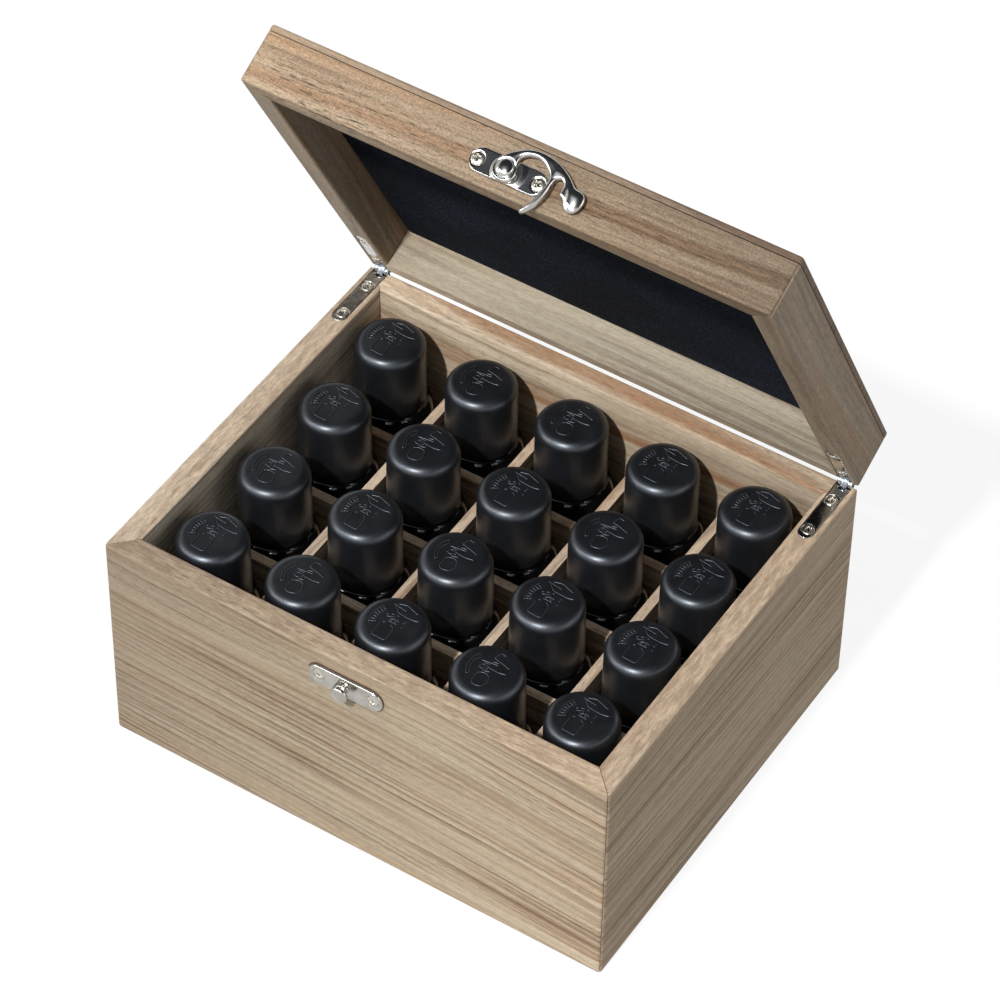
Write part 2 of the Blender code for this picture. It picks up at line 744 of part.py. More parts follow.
def bottle_mesh(glass, plastic):
    """Glass body and shoulder with the cap over its neck, turned as one solid."""
    cap_bottom = bottle_height - cap_height
    neck = bottle_radius * neck_share
    rise = cap_bottom - running_gap * 4 - shoulder_height
    shoulder = [(neck + (bottle_radius - neck) * math.cos(a), shoulder_height + rise * math.sin(a))
                for a in (math.pi / 2 * i / 2 for i in range(3))]
    base = arc((bottle_radius - base_edge_radius, base_edge_radius), base_edge_radius,
               -math.pi / 2, 0, 1)
    top = cap_radius * cap_draft_share
    cap = arc((top - cap_edge_radius, bottle_height - cap_edge_radius), cap_edge_radius,
              0, math.pi / 2, 2)
    profile = [(0, 0), *base, *shoulder, (neck, cap_bottom), (cap_radius, cap_bottom), *cap,
               (0, bottle_height)]
    bm = revolved(profile, 16)
    for face in bm.faces:
        face.material_index = int(face.calc_center_median().z > cap_bottom - running_gap)
    shell = object_from("bottle_blank", bm, glass)
    shell.data.materials.append(plastic)
    return baked(shell, [])


def cell(edges, index):
    """Middle and half width of the free space between two neighbouring strips or walls."""
    low, high = edges[index] + strip_thickness / 2, edges[index + 1] - strip_thickness / 2
    return (low + high) / 2, (high - low) / 2


def build_bottles(glass, plastic):
    mesh = bottle_mesh(glass, plastic)
    wall_x = inner_half_width + strip_thickness / 2
    wall_y = inner_half_depth + strip_thickness / 2
    columns = [-wall_x, *strip_columns, wall_x]
    rows = [-wall_y, *strip_rows, wall_y]
    for row, leans in enumerate(lean_shares):
        for column, (right, back) in enumerate(leans):
            x, room_x = cell(columns, column)
            y, room_y = cell(rows, row)
            x += right * (room_x - bottle_radius - running_gap)
            y += back * (room_y - bottle_radius - running_gap)
            name = f"bottle_{row + 1}_{column + 1}"
            place_mesh(name, mesh, place=(x, y, floor_level))


def build_box():
    clear_scene()
    wood = make_material("box_wood", (0.43, 0.33, 0.24), 0.6)
    strip_wood = make_material("divider_wood", (0.36, 0.27, 0.19), 0.65)
    velvet = make_material("dark_velvet", (0.008, 0.011, 0.02), 0.95)
    metal = make_material("nickel_plate", (0.75, 0.73, 0.70), 0.18, 1.0)
    glass = make_material("black_glass", (0.006, 0.006, 0.008), 0.06)
    plastic = make_material("black_plastic", (0.018, 0.019, 0.022), 0.42)
    screw = screw_mesh()
    pivot = build_lid_pivot()
    walls = build_walls(wood)
    build_strips(strip_wood)
    rails = build_lid(wood, velvet, pivot)
    build_hinge("left", -1, metal, walls, rails, pivot, screw)
    build_hinge("right", 1, metal, walls, rails, pivot, screw)
    build_latch(metal, rails, pivot, screw)
    build_catch(metal, walls, screw)
    build_bottles(glass, plastic)


build_box()
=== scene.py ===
import math

import bmesh
import bpy
import numpy as np
from mathutils import Matrix, Vector
from mathutils.geometry import delaunay_2d_cdt


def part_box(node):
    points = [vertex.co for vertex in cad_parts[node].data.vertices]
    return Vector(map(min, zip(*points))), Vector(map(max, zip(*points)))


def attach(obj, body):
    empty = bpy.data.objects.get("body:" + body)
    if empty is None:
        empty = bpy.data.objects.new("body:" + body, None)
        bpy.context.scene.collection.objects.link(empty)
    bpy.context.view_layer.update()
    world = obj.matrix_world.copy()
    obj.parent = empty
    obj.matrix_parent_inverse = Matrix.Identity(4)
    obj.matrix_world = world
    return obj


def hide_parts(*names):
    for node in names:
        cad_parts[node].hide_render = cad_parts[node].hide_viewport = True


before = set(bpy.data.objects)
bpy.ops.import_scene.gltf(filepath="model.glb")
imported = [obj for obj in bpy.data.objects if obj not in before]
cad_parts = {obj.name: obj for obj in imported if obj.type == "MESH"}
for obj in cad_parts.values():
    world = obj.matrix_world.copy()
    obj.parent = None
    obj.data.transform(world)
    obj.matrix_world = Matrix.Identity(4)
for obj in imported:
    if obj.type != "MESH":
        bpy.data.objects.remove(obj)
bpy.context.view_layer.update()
print("frame loaded:", len(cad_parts), "nodes")

mm = 0.001


# helpers for node trees

def linear(hexColour):
    # an sRGB hex colour as linear RGBA
    channels = [int(hexColour[i:i + 2], 16) / 255 for i in (1, 3, 5)]
    return (*[c / 12.92 if c <= 0.04045 else ((c + 0.055) / 1.055) ** 2.4 for c in channels], 1.0)


def setInputs(tree, node, inputs):
    # values and links for a node's inputs, by name or number, or in order
    for socket, value in inputs.items() if isinstance(inputs, dict) else enumerate(inputs):
        if isinstance(value, bpy.types.NodeSocket):
            tree.links.new(value, node.inputs[socket])
        else:
            node.inputs[socket].default_value = value


def addNode(tree, kind, inputs=(), output=0, **settings):
    # a shader node with its settings, values and links; gives one of its outputs
    node = tree.nodes.new("ShaderNode" + kind)
    for field, value in settings.items():
        setattr(node, field, value)
    setInputs(tree, node, inputs)
    return node.outputs[output]


def toned(tree, value, low, high, first, second, most=1.0):
    # the first colour, and as the value rises from low to high more of the second, up to this share
    share = addNode(tree, "MapRange", [value, low, high, 0.0, most])
    colours = [linear(colour) if isinstance(colour, str) else colour for colour in (first, second)]
    return addNode(tree, "Mix", {0: share, 6: colours[0], 7: colours[1]}, 2, data_type="RGBA")


def weighted(tree, start, *terms):
    # start plus each value times its weight
    for value, weight in terms:
        start = addNode(tree, "Math", [value, weight, start], operation="MULTIPLY_ADD")
    return start


def multiplied(tree, value, *factors):
    # the value times each factor
    for factor in factors:
        value = addNode(tree, "Math", [value, factor], operation="MULTIPLY")
    return value


def newMaterial(name):
    # a material with its node tree and its shader
    material = bpy.data.materials.new(name)
    material.use_nodes = True
    tree = material.node_tree
    return material, tree, tree.nodes["Principled BSDF"]


# wood

# where the lid turns, and how far it stands open at rest
hingeAxis = {"y": 75.0 * mm, "z": 87.2 * mm, "opening": math.radians(62.3)}

woodLook = {
    "pale": "#BFB09A", "base": "#A6937A", "brown": "#6E5743", "grey": "#665A4F", "warm": "#9A6E49",
    "ringSpacing": 3.0, "ringDepth": 0.75, "bow": 12.0, "tilt": 0.0,  # spacing and bow in mm
    "sway": 3.0 * mm, "jitter": 0.6 * mm, "relief": 0.07 * mm,
    "bands": 1.2, "streaks": 1.25, "ticks": 0.12, "dashes": 0.30, "roughness": 0.62,
    "warmth": 0.35, "warmCells": 260.0, "warmFrom": -0.02, "warmOver": 0.0, "warmFade": 14 * mm,
    "slope": 0.0, "rise": 0.0,  # share of light gained in 100 mm along the grain and across it
    "middle": (44 * mm, 97 * mm),  # height of the walls' and the lid's middle, where the rise adds nothing
    "rim": 0.0, "rimFace": (0, 0, 1), "rimTones": ("#9C8670", "#C3AD95"),  # tones of a sawn upper edge: its own mottle, and a paler tone where the face looks along rimFace, which is painted light
}

grainCells = {  # noise cells to the metre along the grain, across it and through the board, detail, roughness
    "bow": ((3.2, 9, 9), 1), "sway": ((15, 48, 48), 2), "jitter": ((95, 420, 420), 2),
    "patches": ((11, 30, 30), 3, 0.6), "fibres": ((330, 3000, 1600), 2, 0.65),
    "pores": ((230, 2300, 1500), 1), "poreFields": ((12, 60, 60), 1),
    "rays": ((1500, 1150, 1150), 2), "mottle": ((110, 560, 560), 4, 0.65),
}
ringCells = {  # the same on coordinates that follow the bowed rings: 560 cells are streaks 1.8 mm wide
    "wander": ((0.5, 90, 1), 2), "bands": ((4, 130, 1), 2, 0.55), "streaks": ((8, 560, 1), 3, 0.62),
    "threads": ((34, 1900, 1), 2, 0.6), "greys": ((6, 150, 1), 2, 0.5, (7.7, 2.3, 5.1)),
}


def grainNoise(tree, place, cells, detail=2.0, roughness=0.5, shift=(0, 0, 0)):
    # noise around 0 with its own number of cells in each direction
    scaled = addNode(tree, "Mapping", {"Vector": place, "Location": shift, "Scale": cells})
    value = addNode(tree, "TexNoise", {"Vector": scaled, "Scale": 1.0, "Detail": detail,
                                       "Roughness": roughness})
    return addNode(tree, "Math", [value, 0.5], operation="SUBTRACT")


def grainFrame(tree, axis, seed, onLid):
    # coordinates as (along the grain, across it on the face, through the board), in metres
    place = addNode(tree, "TexCoord", output="Object")
    if onLid:
        turn = {"Vector": place, "Center": (0, hingeAxis["y"], hingeAxis["z"]), "Angle": hingeAxis["opening"]}
        place = addNode(tree, "VectorRotate", turn, rotation_type="X_AXIS")
    parts = addNode(tree, "SeparateXYZ", [place]).node.outputs
    order = {"x": ("X", "Z", "Y"), "y": ("Y", "Z", "X"), "flat": ("X", "Y", "Z")}[axis]
    joined = addNode(tree, "CombineXYZ", [parts[name] for name in order])
    shift = (seed * 0.731, seed * 0.377, seed * 0.193)
    return parts[order[0]], parts[order[1]], addNode(tree, "VectorMath", [joined, shift], operation="ADD")


def woodMaterial(name, axis, seed, onLid=False, **changes):
    # dry brushed paulownia: bowed bands and streaks, a dark late line in each ring, pores, ray ticks
    look = {**woodLook, **changes}
    material, tree, shader = newMaterial(name)
    along, across, grain = grainFrame(tree, axis, seed, onLid)
    field = {key: grainNoise(tree, grain, *cells) for key, cells in grainCells.items()}

    # depth through the rings: the place across and a part of the place through, with bow, sway and jitter
    parts = addNode(tree, "SeparateXYZ", [grain]).node.outputs
    depth = weighted(tree, parts["Y"], (parts["Z"], 0.45), (field["bow"], 2 * look["bow"] * mm),
                     (field["sway"], look["sway"]), (field["jitter"], look["jitter"]),
                     (parts["X"], look["tilt"]))
    ringPlace = addNode(tree, "CombineXYZ", [parts["X"], depth, seed])
    field.update({key: grainNoise(tree, ringPlace, *cells) for key, cells in ringCells.items()})
    field["warm"] = grainNoise(tree, ringPlace, (5, look["warmCells"], 1), 3, shift=(3.1, 1.7, 0.4))

    # late wood: dark towards the end of each ring, by the ring's own force
    rings = weighted(tree, 0.0, (depth, 1 / (look["ringSpacing"] * mm)), (field["wander"], 3.0))
    share = addNode(tree, "Math", [rings], operation="FRACT")
    count = addNode(tree, "Math", [rings], operation="FLOOR")
    ringForce = grainNoise(tree, addNode(tree, "CombineXYZ", [along, count, seed]), (9.0, 1.73, 1.0), 1)
    ringForce = addNode(tree, "MapRange", [ringForce, -0.14, 0.14, 0.05, 1.0])
    force = addNode(tree, "MapRange", [field["patches"], -0.16, 0.16, 0.45, 1.25])
    late = addNode(tree, "Math", [addNode(tree, "MapRange", [share, 0.25, 0.90]), 2.4], operation="POWER")
    late = multiplied(tree, late, addNode(tree, "MapRange", [share, 0.90, 1.0, 1.0, 0.0]), ringForce, force,
                      look["ringDepth"])
    late = addNode(tree, "Math", [late, 1.0], operation="MINIMUM")

    streaks = multiplied(tree, field["streaks"], force)
    tone = weighted(tree, 0.42, (field["patches"], 0.7), (field["bands"], -2.2 * look["bands"]),
                    (streaks, -3.0 * look["streaks"]), (field["threads"], -1.1))
    dark = toned(tree, field["greys"], -0.08, 0.10, look["brown"], look["grey"])
    colour = toned(tree, tone, 0.0, 1.0, look["pale"], look["base"])
    colour = toned(tree, tone, 0.70, 1.60, colour, dark, 0.66)
    warmth = look["warmth"]
    if look["warmOver"]:  # the warm streaks gather over this height
        warmBelow = look["warmOver"] - look["warmFade"]
        warmth = addNode(tree, "MapRange", [across, warmBelow, look["warmOver"], 0.25 * warmth, warmth])
    warmTo = look["warmFrom"] + 0.18
    colour = toned(tree, field["warm"], look["warmFrom"], warmTo, colour, look["warm"], warmth)
    colour = toned(tree, late, 0.0, 1.0, colour, dark)
    if look["rim"]:  # a sawn edge is mottled, and painted a little paler where its face looks along rimFace: painted light that lifts the edge faces
        normal = addNode(tree, "TexCoord", output="Normal")
        facing = addNode(tree, "VectorMath", [normal, look["rimFace"]], "Value", operation="DOT_PRODUCT")
        rimTone = toned(tree, field["mottle"], -0.10, 0.12, *look["rimTones"])
        colour = toned(tree, facing, 0.8, 0.95, colour, rimTone, look["rim"])

    # shade: fibres, pore dashes and ray ticks, and the light's fall along and across the board
    poreShare = addNode(tree, "MapRange", [field["poreFields"], -0.10, 0.12, 0.15, 1.0])
    dashes = addNode(tree, "MapRange", [field["pores"], 0.07, 0.20, 0.0, poreShare])
    slope, rise = look["slope"] / (100 * mm), look["rise"] / (100 * mm)
    fall = weighted(tree, 1 - look["middle"][onLid] * rise, (along, slope), (across, rise))
    shade = multiplied(tree, addNode(tree, "MapRange", [field["fibres"], -0.22, 0.22, 1.19, 0.79]),
                       weighted(tree, 1.0, (dashes, -look["dashes"])),
                       weighted(tree, 1.0, (field["rays"], 2.4 * look["ticks"])), fall)
    relief = weighted(tree, 0.0, (field["fibres"], 0.35), (dashes, -0.6), (late, -0.8))
    shaded = addNode(tree, "Mix", {0: 1.0, 6: colour, 7: shade}, 2, data_type="RGBA", blend_type="MULTIPLY")
    setInputs(tree, shader, {
        "Base Color": shaded,
        "Roughness": addNode(tree, "MapRange", [late, 0.0, 0.6, look["roughness"], look["roughness"] + 0.12]),
        "Normal": addNode(tree, "Bump", {"Height": relief, "Distance": look["relief"]}),
        "Specular IOR Level": 0.3,
    })
    return material


frontWood = woodMaterial("woodFront", "x", 1.0, ringSpacing=2.6, ringDepth=1.2, warmth=0.25, slope=0.25,
                         rise=-0.12, rim=0.75, tilt=0.06, bands=0.75, streaks=1.45, pale="#B7A890",
                         base="#9D8971", brown="#755A44", grey="#716255")
backWood = woodMaterial("woodBack", "x", 2.3, warmth=0.75, warmCells=300.0, warmFrom=-0.05, warmOver=68 * mm,
                        ringSpacing=4.2, rim=0.2, bands=0.8, streaks=0.9, brown="#82664D", grey="#837261",
                        pale="#C8B79F", base="#A5927A", warm="#98653B", slope=-0.16)
# paler tones than the front board: painted light that lifts this side, which the key lamp misses
rightWood = woodMaterial("woodRight", "y", 3.7, ringSpacing=2.4, ringDepth=0.9, pale="#C6B298",
                         base="#AC967D", rim=0.75, tilt=0.05, bands=1.4)
# far paler tones than the other boards: painted light that lifts the wall's inner face, which lies in shade
leftWood = woodMaterial("woodLeft", "y", 4.9, rim=0.75, pale="#E2D6C2", base="#CDBDA7")
lidFrontWood = woodMaterial("woodLidFront", "x", 6.1, True, warmth=0.30, ringSpacing=5.0, ticks=0.55,
                            slope=-0.36, pale="#9C8870", base="#7C664E", brown="#553C29", grey="#5C4937",
                            ringDepth=0.6, streaks=1.0, dashes=0.8, warm="#8F6038")
# this rail's edge face looks down and forward and lies in shade; rim paints it paler: painted light
lidBackWood = woodMaterial("woodLidBack", "x", 7.4, True, warmth=0.15, ringDepth=0.7, pale="#A59A86",
                           base="#877C68", slope=-0.18, rise=1.6, streaks=1.1, rim=1.0,
                           rimTones=("#B0A28D", "#CBBFAD"), rimFace=(0, -0.885, -0.465))
lidSideWood = woodMaterial("woodLidSides", "y", 8.8, True, pale="#A69680", base="#877562", ringDepth=0.4,
                           bands=0.7, streaks=0.8)
lidPanelWood = woodMaterial("woodLidPanel", "flat", 9.6, True, pale="#94806A", base="#766150", slope=-0.30,
                            brown="#553F2E", grey="#5A4A3C")
baseWood = woodMaterial("woodBase", "flat", 11.2)
stripWood = woodMaterial("woodStrips", "y", 12.9, warmth=0.5, pale="#D3BEA6", base="#B29A82")
crossWood = woodMaterial("woodCrossStrips", "x", 14.2, warmth=0.5, pale="#D3BEA6", base="#B29A82")
print("materials: wood")


# velvet, nickel, glue, plastic and glass

def speckles(tree, size, detail=3.0, roughness=0.5):
    # noise from 0 to 1 over a piece, its cells of this size
    place = addNode(tree, "TexCoord", output="Object")
    return addNode(tree, "TexNoise", {"Vector": place, "Scale": 1 / size, "Detail": detail,
                                      "Roughness": roughness})


def finishMaterial(name, tones, roughness, grain, texture=None, depth=0.0, sweep=0.0, inputs=()):
    # colour and roughness follow one noise, the relief the same noise or a finer one. Tones hold a colour,
    # then each next colour after the two values of the noise between which it takes over
    material, tree, shader = newMaterial(name)
    noise = specks = speckles(tree, *grain)
    if sweep:  # broad clouds under the specks
        noise = weighted(tree, 0.0, (specks, 0.8), (speckles(tree, sweep), 0.2))
    colour = tones[0]
    for low, high, nextColour in tones[1:]:
        colour = toned(tree, noise, low, high, colour, nextColour)
    if isinstance(roughness, tuple):  # from and to in the noise, then from and to in the roughness
        roughness = addNode(tree, "MapRange", [noise, *roughness])
    setInputs(tree, shader, {"Base Color": colour, "Roughness": roughness, **dict(inputs)})
    if depth:
        height = speckles(tree, *texture) if texture else specks
        setInputs(tree, shader, {"Normal": addNode(tree, "Bump", {"Height": height, "Distance": depth})})
    return material


def nickelMaterial(name, roughness=0.13, bright="#C2C0BC", dull="#ADABA8", smudge=5.0 * mm):
    # polished nickel plate with faint buffing marks and duller smudges
    return finishMaterial(name, (bright, (0.38, 0.62, dull)), (0.3, 0.7, roughness - 0.04, roughness + 0.08),
                          grain=(smudge,), texture=(0.8 * mm,), depth=0.012 * mm, inputs={"Metallic": 1.0})


nickel = nickelMaterial("nickelPolished")
satinNickel = nickelMaterial("nickelSatin", 0.17, "#BCB9B2", "#ABA8A1")
knuckleNickel = nickelMaterial("nickelKnuckle", 0.20, "#A2A8B0", "#878D95")
# worn nickel whose dull tone is brown: wear with dark mottles, and a painted reflection of the wood round the
# left hinge
wornNickelAndWoodReflection = nickelMaterial("nickelWorn", 0.32, "#C2BBB0", "#857C72", 1.6 * mm)
screwNickel = nickelMaterial("nickelScrews", 0.26, "#D2CBBE", "#B9B4AB")

# nickel over a rough cast knuckle: mottled bright and dark spots
castNickel = finishMaterial("nickelCast", ("#4C4E52", (0.36, 0.50, "#85878C"), (0.50, 0.62, "#B9BBBF")),
                            (0.3, 0.7, 0.24, 0.12), grain=(0.55 * mm, 3, 0.7), depth=0.03 * mm,
                            inputs={"Metallic": 1.0})
# short navy-black pile: dark, with a weak sheen, and paler specks painted where the pile turns to the light:
# painted sheen;
# the specks are coarser than the real pile, so that they show
velvet = finishMaterial("velvetNavy", ("#04060A", (0.36, 0.52, "#090D15"), (0.52, 0.64, "#2B354A")), 0.95,
                        grain=(0.50 * mm, 2, 0.6), sweep=30 * mm, depth=0.2 * mm,
                        inputs={"Specular IOR Level": 0.03, "Sheen Weight": 0.010, "Sheen Roughness": 0.4})
# dried glue in the mitres, brown with dust; the same brown is the painted shadow over the catch plate
glue = finishMaterial("glueBrown", ("#4A3828", (0.3, 0.7, "#6B5440")), 0.8, grain=(2.0 * mm,))
# satin moulded plastic with a fine spark-eroded texture
capPlastic = finishMaterial("plasticSatinBlack", ("#121417", (0.3, 0.7, "#181A1E")), (0.3, 0.7, 0.33, 0.39),
                            grain=(6.0 * mm,), texture=(0.22 * mm, 2), depth=0.012 * mm,
                            inputs={"Specular IOR Level": 0.70, "Specular Tint": (0.86, 0.92, 1.0, 1.0)})
# opaque black glass, mirror smooth with faint dust
bottleGlass = finishMaterial("glassBlack", ("#050506", (0.5, 0.8, "#0B0B0D")), (0.4, 0.8, 0.03, 0.12),
                             grain=(1.5 * mm, 4))
print("materials: nickel, velvet, glue, plastic, glass")

painted = {
    "front_wall": frontWood, "back_wall": backWood, "right_wall": rightWood, "left_wall": leftWood,
    "base_panel": baseWood, "lid_front_rail": lidFrontWood, "lid_back_rail": lidBackWood,
    "lid_left_rail": lidSideWood, "lid_right_rail": lidSideWood, "lid_panel": lidPanelWood,
    "lid_lining": velvet, "catch_plate": satinNickel,
}
for node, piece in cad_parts.items():
    material = painted.get(node)
    if "divider" in node:
        material = stripWood if "long" in node else crossWood
    elif not material and any(word in node for word in ("leaf", "pin", "screw", "latch")):
        material = nickel
    if material:
        piece.data.materials.clear()
        piece.data.materials.append(material)


# meshes

def buildMesh(name, vertices, quads, triangles):
    # a mesh from arrays of vertices, quads and triangles
    mesh = bpy.data.meshes.new(name)
    vertices = np.asarray(vertices, np.float32)
    quads = np.asarray(quads, np.int32).reshape(-1, 4)
    triangles = np.asarray(triangles, np.int32).reshape(-1, 3)
    loops = np.concatenate([quads.ravel(), triangles.ravel()])
    totals = np.concatenate([np.full(len(quads), 4), np.full(len(triangles), 3)]).astype(np.int32)
    starts = np.concatenate([[0], np.cumsum(totals)[:-1]]).astype(np.int32)
    mesh.vertices.add(len(vertices))
    mesh.vertices.foreach_set("co", vertices.ravel())
    mesh.loops.add(len(loops))
    mesh.loops.foreach_set("vertex_index", loops)
    mesh.polygons.add(len(totals))
    mesh.polygons.foreach_set("loop_start", starts)
    mesh.polygons.foreach_set("loop_total", totals)
    mesh.update(calc_edges=True)
    mesh.validate()
    mesh.shade_smooth()
    return mesh


def addPiece(name, shape, material, body, nodes=()):
    # a piece from (vertices, quads, triangles), riding a body, in place of CAD nodes if any are named
    mesh = buildMesh(name, *shape)
    mesh.materials.append(material)
    piece = bpy.data.objects.new(name, mesh)
    bpy.context.scene.collection.objects.link(piece)
    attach(piece, body)
    if nodes:
        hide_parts(*nodes)


def ringQuads(rows, columns):
    # quads between neighbouring rows of a grid whose rows close on themselves
    i, j = np.meshgrid(np.arange(rows - 1), np.arange(columns), indexing="ij")
    ahead = (j + 1) % columns
    corners = [i * columns + j, i * columns + ahead, (i + 1) * columns + ahead, (i + 1) * columns + j]
    return np.stack(corners, -1).reshape(-1, 4)


def poleFan(pole, start, columns):
    # triangles from a pole to a ring of points that begins at start
    around = np.arange(columns)
    return np.stack([np.full(columns, pole), (around + 1) % columns + start, around + start], -1)


def turned(profile, segments=72):
    # a profile of (radius, height) points turned round Z; its two ends lie on the axis
    profile = np.asarray(profile, float)
    angles = np.arange(segments) * math.tau / segments
    inner = profile[1:-1]
    ring = np.stack([np.outer(inner[:, 0], np.cos(angles)), np.outer(inner[:, 0], np.sin(angles)),
                     np.repeat(inner[:, 1:2], segments, 1)], -1).reshape(-1, 3)
    vertices = np.vstack([[(0, 0, profile[0, 1])], ring, [(0, 0, profile[-1, 1])]])
    lastRing = (len(inner) - 1) * segments + 1
    poles = [poleFan(0, 1, segments), poleFan(len(vertices) - 1, lastRing, segments)[:, [0, 2, 1]]]
    return vertices, ringQuads(len(inner), segments) + 1, np.vstack(poles)


def prism(plan, low, high):
    # an upright solid over a plan of four corners, run counter-clockwise
    points = np.array([(*corner, z) for z in (low, high) for corner in plan])
    quads = np.array([(3, 2, 1, 0), (4, 5, 6, 7), (0, 1, 5, 4), (1, 2, 6, 5), (2, 3, 7, 6), (3, 0, 4, 7)])
    return points, quads, np.zeros((0, 3), int)


def arcPoints(centre, radius, start, end, steps):
    # evenly spaced points on an arc between two angles, of an ellipse where radius is a pair
    across, up = np.broadcast_to(radius, 2)
    angles = np.linspace(start, end, steps + 1)
    return [(centre[0] + across * math.cos(a), centre[1] + up * math.sin(a)) for a in angles]


def merged(parts):
    # several (vertices, quads, triangles) sets as one
    vertices, quads, triangles, count = [], [], [], 0
    for points, four, three in parts:
        vertices.append(points)
        quads.append(np.asarray(four).reshape(-1, 4) + count)
        triangles.append(np.asarray(three).reshape(-1, 3) + count)
        count += len(points)
    return np.vstack(vertices), np.vstack(quads), np.vstack(triangles)


def moved(shape, offset):
    # the shape, its points moved by the offset
    points, *faces = shape
    return points + np.array(offset), *faces


# bottles

bottleSize = {
    "radius": 14.25 * mm, "height": 80.2 * mm, "shoulder": 49.2 * mm, "neck": 10.6 * mm, "neckGap": 0.4 * mm,
    "baseEdge": 2.4 * mm, "hollow": 1.2 * mm, "capHeight": 25.0 * mm, "capRadius": 12.1 * mm,
    "capEdge": 3.5 * mm, "capFoot": 0.25 * mm, "draft": 0.985, "neckIntoCap": 1.0 * mm, "neckTaper": 0.1 * mm,
}


def glassProfile(size):
    # hollowed underside, round base edge, straight side, shoulder as a quarter ellipse, neck into the cap
    capBottom = size["height"] - size["capHeight"]
    rise = capBottom - size["neckGap"] - size["shoulder"]
    reach = size["radius"] - size["neck"]
    edge = size["baseEdge"]
    base = arcPoints((size["radius"] - edge, edge), edge, -math.pi / 2, 0, 6)
    shoulder = arcPoints((size["neck"], size["shoulder"]), (reach, rise), 0, math.pi / 2 * 0.96, 11)
    under = [(0, size["hollow"]), (size["radius"] * 0.7, size["hollow"] * 0.75), (size["radius"] * 0.8, 0)]
    top = capBottom + size["neckIntoCap"]
    return [*under, *base, *shoulder, (size["neck"] - size["neckTaper"], top), (0, top)]


def capProfile(size):
    # small round foot, a side with the mould's draft, a round upper edge and a flat top
    bottom = size["height"] - size["capHeight"]
    radius, top = size["capRadius"], size["capRadius"] * size["draft"]
    edge, foot = size["capEdge"], size["capFoot"]
    footArc = arcPoints((radius - foot, bottom + foot), foot, -math.pi / 2, 0, 3)
    crown = arcPoints((top - edge, size["height"] - edge), edge, 0, math.pi / 2, 12)
    side = [(radius + (top - radius) * s, bottom + (size["capHeight"] - edge) * s) for s in (0.3, 0.6, 0.9)]
    return [(0, bottom), (size["neck"], bottom), *footArc, *side, *crown,
            (top * 0.5, size["height"]), (0, size["height"])]


strokeLook = {"width": 0.42 * mm, "height": 0.22 * mm, "step": 0.45 * mm, "sink": 0.10 * mm, "passes": 2}
motifs = {  # raised line drawings in mm: right and up as the photo shows them
    "fan": [
        [(-2.3, 7.0), (-4.8, 5.6), (-6.6, 3.3), (-7.4, 0.2)],
        [(-1.7, 5.1), (-3.4, 4.2), (-4.8, 2.5), (-5.4, 0.2)], [(-2.9, 6.2), (-2.2, 5.2)],
        [(-3.9, 5.7), (-3.0, 4.6)], [(-4.8, 4.9), (-3.8, 3.8)], [(-5.6, 4.0), (-4.4, 3.1)],
        [(-6.2, 2.9), (-5.0, 2.2)], [(-6.7, 1.7), (-5.4, 1.3)], [(-7.0, 0.6), (-5.6, 0.4)],
        [(0.4, 7.6), (2.3, 6.0), (4.2, 4.4)], [(1.0, 6.6), (1.7, 3.8), (5.1, 1.2), (6.6, 0.4), (8.1, 0.0)],
        [(1.9, 7.4), (4.7, 6.7), (6.2, 4.8), (7.8, 2.9)],
        [(-3.8, -0.3), (-6.6, -4.7), (-2.5, -7.6), (0.4, -2.9), (-0.6, -1.2)], [(-3.0, -0.1), (-1.9, 0.2)],
        [(-1.9, 3.3), (-0.9, 3.5)], [(-0.4, 3.2), (0.9, 3.1)], [(1.4, 2.6), (2.1, 2.2)],
        [(-0.9, 1.7), (-0.3, 0.5)], [(-1.5, 0.7), (1.2, -1.2)], [(0.2, 2.0), (0.9, -0.4)],
        [(-0.7, 1.3), (1.6, 0.8)], [(0.5, 1.3), (2.0, -0.1)], [(-1.9, 2.5), (-0.6, 2.2), (0.8, 2.3)],
        [(3.3, -0.6), (3.7, -0.8)], [(2.6, -2.3), (2.9, -2.5)], [(4.0, 0.1), (4.3, -0.1)],
    ],
    "ribbon": [
        [(-1.9, 7.0), (-4.2, 5.8), (-6.1, 2.6), (-6.8, -1.2), (-5.7, -0.9), (-5.3, 2.0), (-4.0, 4.4),
         (-2.1, 5.2), (-1.9, 7.0)],
        [(-2.4, 1.3), (-2.2, 2.3), (-1.3, 2.7), (-0.5, 2.0), (-0.6, 0.9), (-1.5, 0.4), (-2.4, 1.3)],
        [(-1.7, 4.1), (0.8, 3.0), (3.4, 1.7)], [(-0.4, 2.0), (2.1, -0.3), (3.4, -1.2), (5.7, -2.0)],
        [(2.3, 4.7), (4.6, 2.6), (6.6, 0.3)], [(4.4, 6.7), (3.1, 6.0), (2.3, 4.7)],
        [(5.8, 5.4), (4.4, 6.7)],
        [(-3.2, -0.9), (-5.1, -4.1), (-4.7, -5.5), (-3.2, -6.2), (-1.7, -6.4), (0.0, -4.9),
         (0.6, -2.6), (-0.6, -1.2), (-2.0, -0.7), (-3.2, -0.9)],
        [(0.1, 2.9), (-0.2, 0.3)], [(-0.2, 1.4), (1.3, 0.6)], [(-1.4, -0.1), (0.3, -0.4)],
        [(-0.9, 3.2), (0.9, 2.2)], [(0.7, 1.1), (1.2, 0.1)], [(-2.7, 1.9), (-2.4, 1.3)],
        [(-1.0, -0.4), (0.9, -0.8)], [(1.7, 3.3), (3.6, 2.6)],
    ],
}
motifOrder = ["fan ribbon fan ribbon fan", "ribbon fan ribbon fan fan", "fan ribbon fan ribbon fan",
              "fan ribbon ribbon fan fan"]  # from the front row to the back row
imageRight = np.array([0.842, 0.539])  # the drawings face the photo's camera
imageUp = np.array([-0.539, 0.842])


